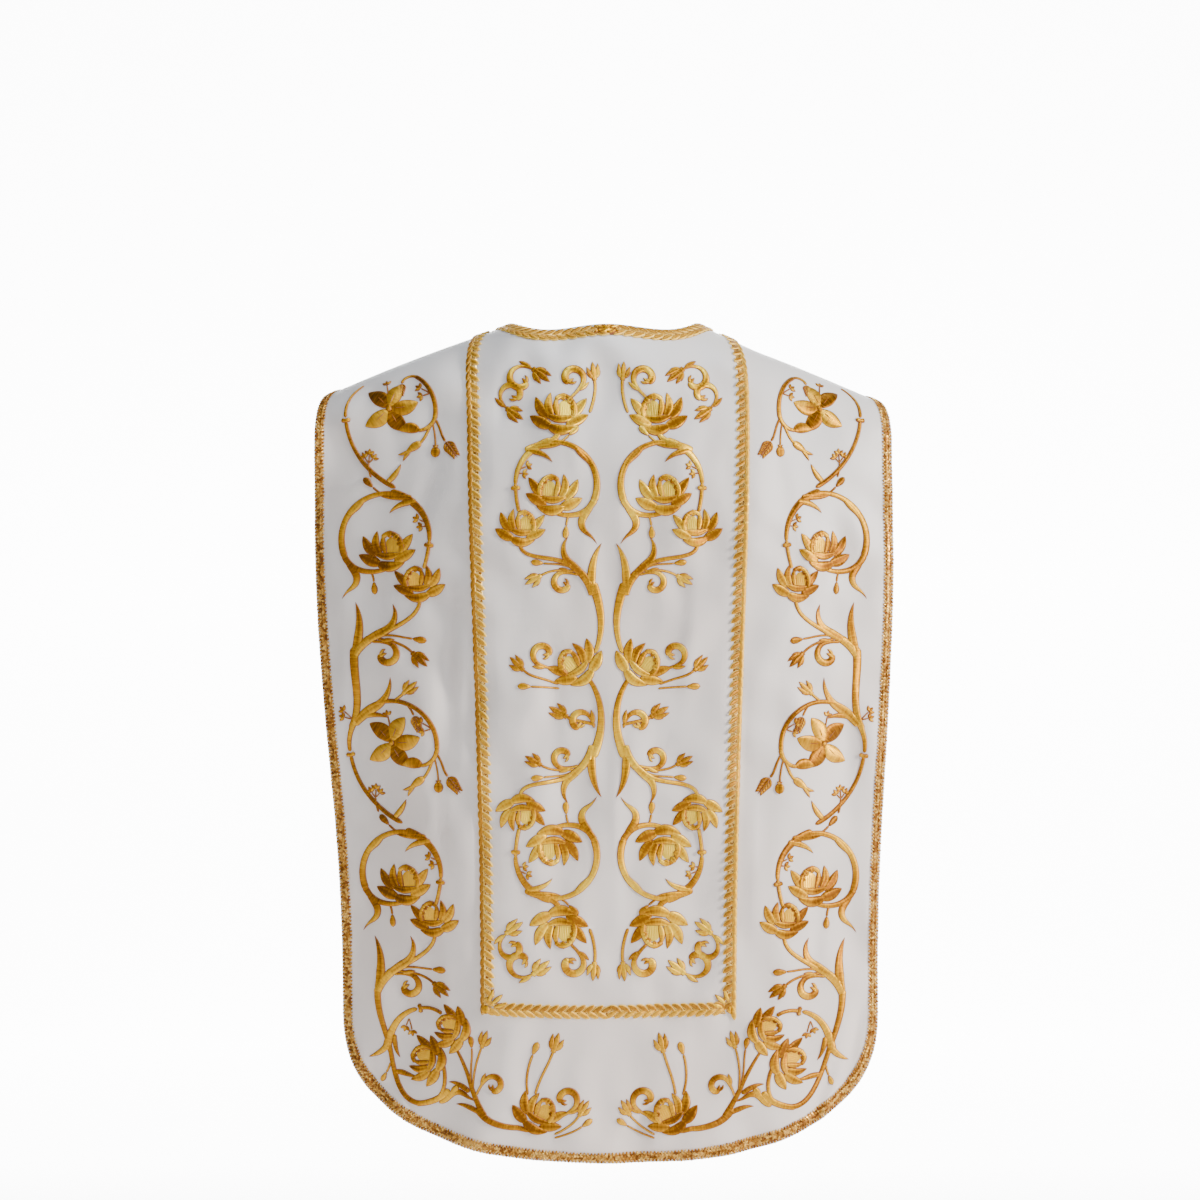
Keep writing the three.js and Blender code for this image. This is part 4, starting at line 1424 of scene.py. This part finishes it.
@dataclass
class Setter:
    """Sets small pieces along trims with one tree."""

    tree: bpy.types.NodeTree

    def build(self, name: str, points: Array, turns: Array, rows: Array, piece: bpy.types.Object,
              bed: bpy.types.Object, finish: bpy.types.Material, seed: int,
              unevenness: float = 0.04) -> bpy.types.Object:
        """Makes one trim as a plain mesh.

        Args:
            name: The piece's name.
            points: Where the small pieces lie, in metres.
            turns: Their rotations.
            rows: How much brighter each is painted than its neighbours, as painted sheen: one row of plait
                leaves painted lighter than the row that leans the other way.
            piece: The small piece.
            bed: The strip that carries them.
            finish: The small pieces' material.
            seed: Fixes the chance in their sizes.
            unevenness: How much their sizes differ.

        Returns:
            The trim, with the bed and the pieces in one mesh.
        """
        mesh = bpy.data.meshes.new(name + "_places")
        mesh.from_pydata(points.tolist(), [], [])
        turn = mesh.attributes.new("turn", "FLOAT_VECTOR", "POINT")
        turn.data.foreach_set("vector", turns.astype(np.float32).ravel())
        # The row mark carries painted sheen of the plait's two rows.
        row = mesh.attributes.new("row", "FLOAT", "POINT")
        row.data.foreach_set("value", rows.astype(np.float32))
        made = bpy.data.objects.new(name, mesh)
        bpy.context.scene.collection.objects.link(made)
        modifier = made.modifiers.new("set", "NODES")
        modifier.node_group = self.tree
        values = {"Piece": piece, "Bed": bed, "Size": 1.0, "Unevenness": unevenness, "Seed": seed,
                  "Finish": finish}
        for item in self.tree.interface.items_tree:
            if item.in_out == "INPUT" and item.name in values:
                modifier[item.identifier] = values[item.name]
        bpy.context.view_layer.update()
        graph = bpy.context.evaluated_depsgraph_get()
        result = bpy.data.meshes.new_from_object(made.evaluated_get(graph), depsgraph=graph)
        made.modifiers.remove(modifier)
        made.data = result
        result.name = name
        return made


def turns_of(along: Array, normal: Array) -> Array:
    """Rotations that bring x to along and z to normal.

    Args:
        along: Unit vectors.
        normal: Unit vectors, roughly square to them.

    Returns:
        Euler angles in XYZ order.
    """
    y = np.cross(normal, along)
    y /= np.linalg.norm(y, axis=-1, keepdims=True)
    z = np.cross(along, y)
    return np.stack([np.arctan2(y[:, 2], z[:, 2]), -np.arcsin(np.clip(along[:, 2], -1, 1)),
                     np.arctan2(along[:, 1], along[:, 0])], axis=-1)


def set_along(path: Array, offset: float, lean: float, lift: float, closed: bool = False) -> tuple[Array,
                                                                                                   Array]:
    """Places and rotations of small pieces beside a path.

    Args:
        path: Rows of u and v, one for each piece.
        offset: How far to the left of the path they lie.
        lean: Degrees that they lean to the left of the path's direction.
        lift: Height of their middles over the cloth.
        closed: Whether the path is a ring.

    Returns:
        Points in metres, and Euler angles.
    """
    side = normals(path, closed)
    along = np.stack([side[:, 1], -side[:, 0]], axis=-1)
    place = path + side * offset
    angle = math.radians(lean)
    heading = along * math.cos(angle) + side * math.sin(angle)
    u, v = place[:, 0], place[:, 1]
    across, down, normal = DRAPE.frames(u, v)
    direction = across * heading[:, :1] + down * heading[:, 1:]
    return DRAPE.lay(u, v, lift), turns_of(direction, normal)


def strip(path: Array, width: float, height: float, material: bpy.types.Material, name: str,
          closed: bool = False) -> bpy.types.Object:
    """The bed of a trim: a low closed strip along a path.

    Args:
        path: Rows of u and v.
        width: Its width.
        height: Its crown over the cloth.
        material: Its finish.
        name: Its name.
        closed: Whether the path is a ring.

    Returns:
        The object.
    """
    side = normals(path, closed)
    w = np.array([-1, -0.8, -0.35, 0, 0.35, 0.8, 1]) * width / 2
    dome = np.array([-0.3, 0.75, 0.95, 1, 0.95, 0.75, -0.3]) * height
    u = path[:, :1] + side[:, :1] * w
    v = path[:, 1:] + side[:, 1:] * w
    points = DRAPE.lay(u, v, np.broadcast_to(dome, u.shape)).reshape(-1, 3)
    length = np.concatenate([[0], np.cumsum(np.linalg.norm(np.diff(path, axis=0), axis=1))])
    uvs = np.stack([np.broadcast_to(length[:, None], u.shape), np.broadcast_to(w, u.shape)],
                   axis=-1).reshape(-1, 2) * MM
    rows, columns = u.shape
    if closed:
        ring = np.concatenate([np.arange(rows), [0]])
    else:
        ring = np.arange(rows)
    faces: list[tuple[int, ...]] = []
    for a, b in zip(ring, ring[1:]):
        for c in range(columns):
            n = (c + 1) % columns
            faces.append((a * columns + c, b * columns + c, b * columns + n, a * columns + n))
    if not closed:
        faces.append(tuple(range(columns)))
        faces.append(tuple((rows - 1) * columns + c for c in range(columns - 1, -1, -1)))
    edge = np.broadcast_to((width / 2 - np.abs(w)), u.shape).ravel()
    made = Weaving()
    flip = volume(points, faces) < 0
    made.add(points, [face[::-1] for face in faces] if flip else faces, uvs, edge)
    return made.piece(name, material, 75)


def volume(points: Array, faces: Iterable[Sequence[int]]) -> float:
    """Signed volume inside faces, positive where they face out."""
    middle = points.mean(axis=0)
    total = 0.0
    for face in faces:
        p = points[list(face)] - middle
        for k in range(1, len(face) - 1):
            total += float(np.dot(p[0], np.cross(p[k], p[k + 1])))
    return total


def leaf_piece(name: str, length: float, width: float, height: float,
               material: bpy.types.Material) -> bpy.types.Object:
    """A padded leaf along x, lying on z = 0, for the plaits."""
    rows, w = 13, np.array([-1, -0.78, -0.4, 0, 0.4, 0.78, 1])
    t = np.linspace(0, 1, rows)
    s = (1 - np.cos(np.pi * t)) / 2
    half = np.maximum(np.sin(np.pi * s**0.92) ** 0.62, 0.04) * width / 2
    dome = np.array([-0.25, 0.62, 0.92, 1, 0.92, 0.62, -0.25])
    x = np.broadcast_to(((s - 0.5) * length)[:, None], (rows, len(w)))
    y = half[:, None] * w + 0.7 * np.sin(np.pi * s)[:, None]
    z = np.where(dome > 0, dome * height * np.sqrt(half / half.max())[:, None], dome * 0.8)
    points = np.stack([x, y, z], axis=-1).reshape(-1, 3) * MM
    columns = len(w)
    faces = grid_faces(rows, columns, False)
    last = columns - 1
    faces += [(r * columns, r * columns + last, (r + 1) * columns + last,
               (r + 1) * columns) for r in range(rows - 1)]
    faces += [tuple(range(columns)), tuple((rows - 1) * columns + c for c in range(last, -1, -1))]
    if volume(points, faces) < 0:
        faces = [face[::-1] for face in faces]
    uvs = np.stack([x, half[:, None] * w], axis=-1).reshape(-1, 2) * MM
    from_end = np.minimum(s, 1 - s)[:, None] * length + 0.2
    edge = np.minimum(half[:, None] * (1 - np.abs(w)), from_end).ravel()
    made = Weaving()
    made.add(points, faces, uvs, edge)
    return made.piece(name, material, 75)


def knot_piece(name: str, length: float, width: float, height: float,
               material: bpy.types.Material) -> bpy.types.Object:
    """A small oval knot along x, for the galloon."""
    sides, rings = 6, 3
    points = [(-length / 2, 0, 0)]
    for r in range(1, rings + 1):
        angle = math.pi * r / (rings + 1)
        for k in range(sides):
            turn = 2 * math.pi * k / sides
            points.append((-length / 2 * math.cos(angle), width / 2 * math.sin(angle) * math.cos(turn),
                           height / 2 * math.sin(angle) * math.sin(turn)))
    points.append((length / 2, 0, 0))
    faces: list[tuple[int, ...]] = []
    for k in range(sides):
        n = (k + 1) % sides
        faces.append((0, 1 + n, 1 + k))
        for r in range(rings - 1):
            a = 1 + r * sides
            faces.append((a + k, a + n, a + sides + n, a + sides + k))
        a = 1 + (rings - 1) * sides
        faces.append((a + k, a + n, len(points) - 1))
    solid = np.array(points) * MM
    if volume(solid, faces) < 0:
        faces = [face[::-1] for face in faces]
    made = Weaving()
    made.add(solid, faces, solid[:, :2].copy(), np.full(len(solid), 5.0))
    return made.piece(name, material, 180)


class Parting(Enum):
    """Where the leaves of a plait part or meet."""

    NONE = "none"
    MIDDLE = "middle"
    START = "start"


@dataclass(frozen=True)
class Plait:
    """The padded plait of two rows of leaves that lean away from each other."""

    width: float = 14.5
    pitch: float = 11.0
    leaf_length: float = 16.8
    leaf_width: float = 7.0
    height: float = 3.0
    lean: float = 31
    # How much lighter one row of leaves is painted than the other: painted sheen of leaves that lean opposite
    # ways to the light.
    row_sheen: float = 0.25

    def build(self, name: str, path: Array, setter: Setter, leaf: bpy.types.Object, finishes: Finishes,
              seed: int,
              parting: Parting = Parting.NONE) -> bpy.types.Object:
        """Builds one plait along a path of evenly spaced u and v.

        Args:
            name: The piece's name.
            path: Its centre line, a ring where its leaves part at its start.
            setter: Sets the leaves.
            leaf: The leaf that is set.
            finishes: The garment's finishes.
            seed: Fixes its unevenness.
            parting: Where its leaves part.

        Returns:
            The plait.
        """
        closed = parting is Parting.START
        bed = strip(path, self.width - 1.4, 1.2, finishes.bed, name + "_bed", closed)
        places, turns, rows = [], [], []
        for hand in (1, -1):
            spots = even_shift(path, self.pitch, 0.5 if hand < 0 else 0.0, closed)
            half = len(spots) // 2
            if parting is Parting.NONE:
                parts = [(spots, 1)]
            elif parting is Parting.MIDDLE:
                parts = [(spots[:half][::-1], -1), (spots[half:], 1)]
            else:
                parts = [(spots[:half], 1), (spots[half:][::-1], -1)]
            for part, way in parts:
                side = hand * way
                p, r = set_along(part, side * self.width * 0.235, -side * self.lean, 0.8)
                places.append(p)
                turns.append(r)
                # One row is painted lighter and the other darker: painted sheen.
                rows.append(np.full(len(part), self.row_sheen * hand))
        LOG.info("%s: %d leaves", name, sum(map(len, places)))
        made = setter.build(name, np.concatenate(places), np.concatenate(turns), np.concatenate(rows), leaf,
                            bed,
                            finishes.plait, seed)
        bpy.data.objects.remove(bed)
        return made


def even_shift(path: Array, pitch: float, share: float, closed: bool) -> Array:
    """Evenly spaced places along a path, begun a share of the pitch along it."""
    whole = np.vstack([path, path[:1]]) if closed else path
    length = np.concatenate([[0], np.cumsum(np.linalg.norm(np.diff(whole, axis=0), axis=1))])
    count = max(2, round(length[-1] / pitch))
    step = length[-1] / count
    at = (np.arange(count) + 0.25 + share * 0.999) * step
    at = at[at < length[-1]]
    return np.stack([np.interp(at, length, whole[:, k]) for k in (0, 1)], axis=-1)


@dataclass(frozen=True)
class ColumnLines:
    """Where the plaits of the columns run."""

    half: float = 165
    narrowing: float = 20
    back_foot: float = -819
    front_half: float = 118
    front_foot: float = -765
    bow: float = 4
    gap: float = 1.6
    plait: float = 14.5

    def line(self, hand: int, v: Array) -> Array:
        """The u of a plait line at v."""
        back = self.half - self.narrowing * smooth((v + 60) / 900)
        drawn = 1 - np.exp(-((np.maximum(0, -v) / 140) ** 3))
        return hand * np.where(v >= 0, back, self.half + (self.front_half - self.half) * drawn)

    def foot_run(self, side: Side, foot: float, u: Array) -> Array:
        """Distance from the ridge of a column's foot."""
        half = abs(float(self.line(1, np.array(side.facing * -foot))))
        return DRAPE.run_of(side, u, foot) + self.bow * (1 - (u / half) ** 2)

    def side_path(self, hand: int) -> Array:
        """One line from the foot of the back over the shoulder to the foot of the front."""
        below = self.plait / 2
        back = float(self.foot_run(BACK, self.back_foot, self.line(hand, np.array(-self.back_foot)))) + below
        front = float(self.foot_run(FRONT, self.front_foot,
                                    self.line(hand, np.array(self.front_foot)))) + below
        v = np.linspace(back, -front, 600)
        return even(np.stack([self.line(hand, v), v], axis=-1), 3)

    def foot_path(self, side: Side, foot: float) -> Array:
        """The foot of a column, between its two lines."""
        line = abs(float(self.line(1, side.facing * self.foot_run(side, foot, np.array(0.0)))))
        end = line - self.plait / 2 - self.gap
        u = np.linspace(-end, end, 120)
        return even(np.stack([u, side.facing * self.foot_run(side, foot, u)], axis=-1), 3)


def neck_path(out: float, cuts: tuple[Cut, Cut]) -> Array:
    """The ring round the neck, begun at the middle of the nape.

    Args:
        out: How far outside the neck's edge it runs.
        cuts: The cuts of the back and of the front.

    Returns:
        Rows of u and v, evenly spaced.
    """
    runs = []
    for cut in cuts:
        facing = cut.side.facing
        angle = (np.linspace(0, 1, 160, endpoint=False) + 1 / 320 - 0.5) * math.pi
        depth = cut.side.neck + facing * cut.seam
        power = 2 / cut.neck_roundness
        u = DRAPE.neck_half * np.sign(angle) * np.abs(np.sin(angle)) ** power + out * np.sin(angle)
        v = facing * (depth * np.cos(angle) ** 2 + out * np.cos(angle)) - cut.seam
        run = np.stack([u, v], axis=-1)
        runs.append(run if facing > 0 else run[::-1])
    ring = even(np.concatenate(runs), 3, closed=True)
    eased = sum(np.roll(ring, k, axis=0) for k in range(-3, 4)) / 7
    start = int(np.argmin(np.where(eased[:, 1] > 0, np.abs(eased[:, 0]), 1e9)))
    return np.roll(eased, -start, axis=0)


@dataclass(frozen=True)
class Galloon:
    """The narrow metal braid that binds the edges: two rows of knots and a picot on each side."""

    width: float = 11
    inset: float = 0.8
    pitch: float = 4.3

    def build(self, name: str, cut: Cut, setter: Setter, knot: bpy.types.Object, finishes: Finishes,
              seed: int) -> bpy.types.Object:
        """Builds the braid round one panel."""
        path = cut.edge(self.inset + self.width / 2)
        bed = strip(path, self.width - 2.4, 1.1, finishes.galloon, name + "_bed")
        places, turns = [], []
        for offset, lean, share in ((1.9, 38, 0), (-1.9, -38, 0.5), (4.5, 90, 0.25), (-4.5, 90, 0.25)):
            part = even_shift(path, self.pitch, share, False)
            p, r = set_along(part, offset, lean, 1.35 if abs(offset) < 3 else 0.9)
            places.append(p)
            turns.append(r)
        LOG.info("%s: %d knots", name, sum(map(len, places)))
        spots = np.concatenate(places)
        made = setter.build(name, spots, np.concatenate(turns), np.zeros(len(spots)), knot, bed,
                            finishes.galloon,
                            seed, 0.16)
        bpy.data.objects.remove(bed)
        return made


# ---- stage ----


@dataclass(frozen=True)
class Studio:
    """A pale floor that curves up into a backdrop, soft light, and the camera."""

    floor: float = -1.48
    wall: float = 4.6
    camera: tuple[float, float, float] = (-0.0104, -3.140, -0.336)
    angle: float = 26.56

    def sweep(self) -> bpy.types.Object:
        """The floor and backdrop in one sheet."""
        profile = [(-6.0, 0.0), (self.wall - 1.2, 0.0)]
        for k in range(1, 13):
            a = math.pi / 2 * k / 12
            profile.append((self.wall - 1.2 + 1.2 * math.sin(a), 1.2 - 1.2 * math.cos(a)))
        profile.append((self.wall, 6.0))
        points, faces = [], []
        for x in (-7.0, 7.0):
            points += [(x, y, self.floor + z) for y, z in profile]
        n = len(profile)
        faces = [(k, k + n, k + n + 1, k + 1) for k in range(n - 1)]
        mesh = bpy.data.meshes.new("studio_sweep")
        mesh.from_pydata(points, [], faces)
        mesh.polygons.foreach_set("use_smooth", np.ones(len(mesh.polygons), dtype=bool))
        s = Shader("studio_paper")
        place = s.add("TexCoord").outputs["Object"]
        tone = s.ramp(s.noise(place, 0.8, 1), (0.4, linear(240, 240, 241)), (0.6, linear(244, 244, 245)))
        where = s.add("SeparateXYZ", {0: place}).outputs
        glow = s.add("MapRange", {0: where["Y"], 1: 0.3, 2: 2.0, 3: 0.3, 4: 10.5}).outputs[0]
        aside = s.math("ABSOLUTE", where["X"])
        glow = s.math("MULTIPLY", glow,
                      s.add("MapRange", {0: aside, 1: 2.0, 2: 3.0, 3: 1.0, 4: 0.0}).outputs[0])
        glow = s.math("MULTIPLY", glow,
                      s.add("MapRange", {0: where["Z"], 1: 1.6, 2: 2.4, 3: 1.0, 4: 0.0}).outputs[0])
        mesh.materials.append(s.close({"Base Color": tone, "Roughness": 0.9, "Specular IOR Level": 0.1,
                                       "Emission Color": (1, 1, 1, 1), "Emission Strength": glow}))
        made = bpy.data.objects.new("studio_sweep", mesh)
        bpy.context.scene.collection.objects.link(made)
        return made

    def lamp(self, name: str, place: tuple[float, float, float], aim: tuple[float, float, float], size: float,
             power: float, colour: tuple[float, float, float] = (1, 1, 1)) -> None:
        """Adds one softbox."""
        light = bpy.data.lights.new(name, "AREA")
        light.shape = "DISK"
        light.size = size
        light.energy = power
        light.color = colour
        made = bpy.data.objects.new(name, light)
        made.location = place
        made.rotation_euler = (Vector(aim) - Vector(place)).to_track_quat("-Z", "Y").to_euler()
        bpy.context.scene.collection.objects.link(made)

    def build(self) -> None:
        """Sets the stage, the lights and the camera."""
        self.sweep()
        aim = (0.0, 0.0, -0.5)
        self.lamp("key_softbox", (3.5, -1.75, 0.7), aim, 0.8, 250, (1.0, 0.97, 0.94))
        self.lamp("fill_softbox", (-1.8, -3.2, 0.0), aim, 2.0, 24, (0.97, 0.98, 1.0))
        self.lamp("top_softbox", (0.2, -0.8, 2.4), aim, 1.2, 62, (0.72, 0.85, 1.0))
        world = bpy.data.worlds.new("studio_air")
        world.use_nodes = True
        world.node_tree.nodes["Background"].inputs["Color"].default_value = (0.95, 0.97, 1.0, 1)
        world.node_tree.nodes["Background"].inputs["Strength"].default_value = 0.18
        bpy.context.scene.world = world
        camera = bpy.data.cameras.new("camera")
        camera.angle = math.radians(self.angle)
        camera.clip_end = 50
        made = bpy.data.objects.new("camera", camera)
        made.location = self.camera
        made.rotation_euler = (math.pi / 2, 0, 0)
        bpy.context.scene.collection.objects.link(made)
        bpy.context.scene.camera = made


# ---- the garment ----


@dataclass
class Chasuble:
    """The whole garment, dressed piece by piece."""

    finishes: Finishes
    back_cut: Cut = field(default_factory=lambda: Cut(BACK))
    front_cut: Cut = field(default_factory=lambda: Cut(FRONT))
    lines: ColumnLines = field(default_factory=ColumnLines)

    def take(self, piece: bpy.types.Object, slot: str, *nodes: str) -> bpy.types.Object:
        """Puts a piece on the root body, hides the model's nodes that it stands for, and logs its triangles.
        """
        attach(piece, "root")
        if nodes:
            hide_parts(*nodes)
        LOG.info("%s: %d triangles", piece.name, sum(len(p.vertices) - 2 for p in piece.data.polygons))
        return piece

    def cloth(self) -> tuple[bpy.types.Object, bpy.types.Object]:
        """The two panels."""
        back = ClothPanel("silk_back", self.back_cut, 40, 40, 200).build(self.finishes.silk)
        front = ClothPanel("silk_front", self.front_cut, 28, 30, 130).build(self.finishes.silk)
        self.take(back, "silk", "back_panel")
        self.take(front, "silk", "front_panel")
        return back, front

    def trims(self) -> dict[str, bpy.types.Object]:
        """The plaits and the galloon."""
        setter = Setter(set_on_points("set_on_trim"))
        plait = Plait()
        neck = replace(plait, width=16.5, pitch=11.6, leaf_length=17.5, leaf_width=7.8, row_sheen=0.1)
        leaf = leaf_piece("plait_leaf", plait.leaf_length, plait.leaf_width, plait.height - 0.9,
                          self.finishes.plait)
        big = leaf_piece("neck_leaf", neck.leaf_length, neck.leaf_width, neck.height - 0.9,
                         self.finishes.plait)
        knot = knot_piece("galloon_knot", 4.6, 2.9, 1.9, self.finishes.galloon)
        lines = self.lines
        made: dict[str, bpy.types.Object] = {}
        for hand, name in ((-1, "left"), (1, "right")):
            path = lines.side_path(hand)
            made["plait_line_" + name] = plait.build("thread_line_" + name, path, setter, leaf,
                                                     self.finishes, 3 + hand)
        made["plait_foot_back"] = plait.build("thread_foot_back", lines.foot_path(BACK, lines.back_foot),
                                              setter, leaf,
                                              self.finishes, 11, Parting.MIDDLE)
        made["plait_foot_front"] = plait.build("thread_foot_front",
                                               lines.foot_path(FRONT, lines.front_foot), setter,
                                               leaf, self.finishes, 12, Parting.MIDDLE)
        ring = neck_path(2.5 + neck.width / 2, (self.back_cut, self.front_cut))
        made["plait_neck"] = neck.build("thread_neck", ring, setter, big, self.finishes, 13, Parting.START)
        for name, cut in (("back", self.back_cut), ("front", self.front_cut)):
            made["galloon_" + name] = Galloon().build("braid_" + name, cut, setter, knot, self.finishes, 21)
        for tool in (leaf, big, knot):
            bpy.data.objects.remove(tool)
        for node, piece in made.items():
            self.take(piece, "galloon" if node.startswith("galloon") else "plait", node)
        return made

    def embroidery(self) -> list[bpy.types.Object]:
        """The gold embroidery, which is on the back alone."""
        back = Needlework(BACK)
        # The column and the knots take the gold painted as lit, the border and the hem the gold painted in
        # shade.
        made = [
            back.piece("embroidery_column_back", column_drawing(), self.finishes.bright),
            back.piece("embroidery_border_back", border_drawing(), self.finishes.bronze),
            back.piece("embroidery_hem_back", hem_drawing(), self.finishes.bronze),
            back.piece("knots_back", knots(self.lines), self.finishes.bright),
        ]
        for piece in made:
            self.take(piece, "plait")
        return made

    def build(self) -> None:
        """Builds the garment."""
        back, front = self.cloth()
        trims = self.trims()
        on_back = self.embroidery()
        on_back += [trims[k] for k in ("galloon_back", "plait_foot_back", "plait_line_left",
                                       "plait_line_right",
                                       "plait_neck")]


def main() -> None:
    """Builds the stage and the garment, and notes the sizes."""
    logging.basicConfig(level=logging.INFO, format="%(message)s")
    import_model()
    Studio().build()
    Chasuble(Finishes.make()).build()
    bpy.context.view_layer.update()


if __name__ == "__main__":
    main()
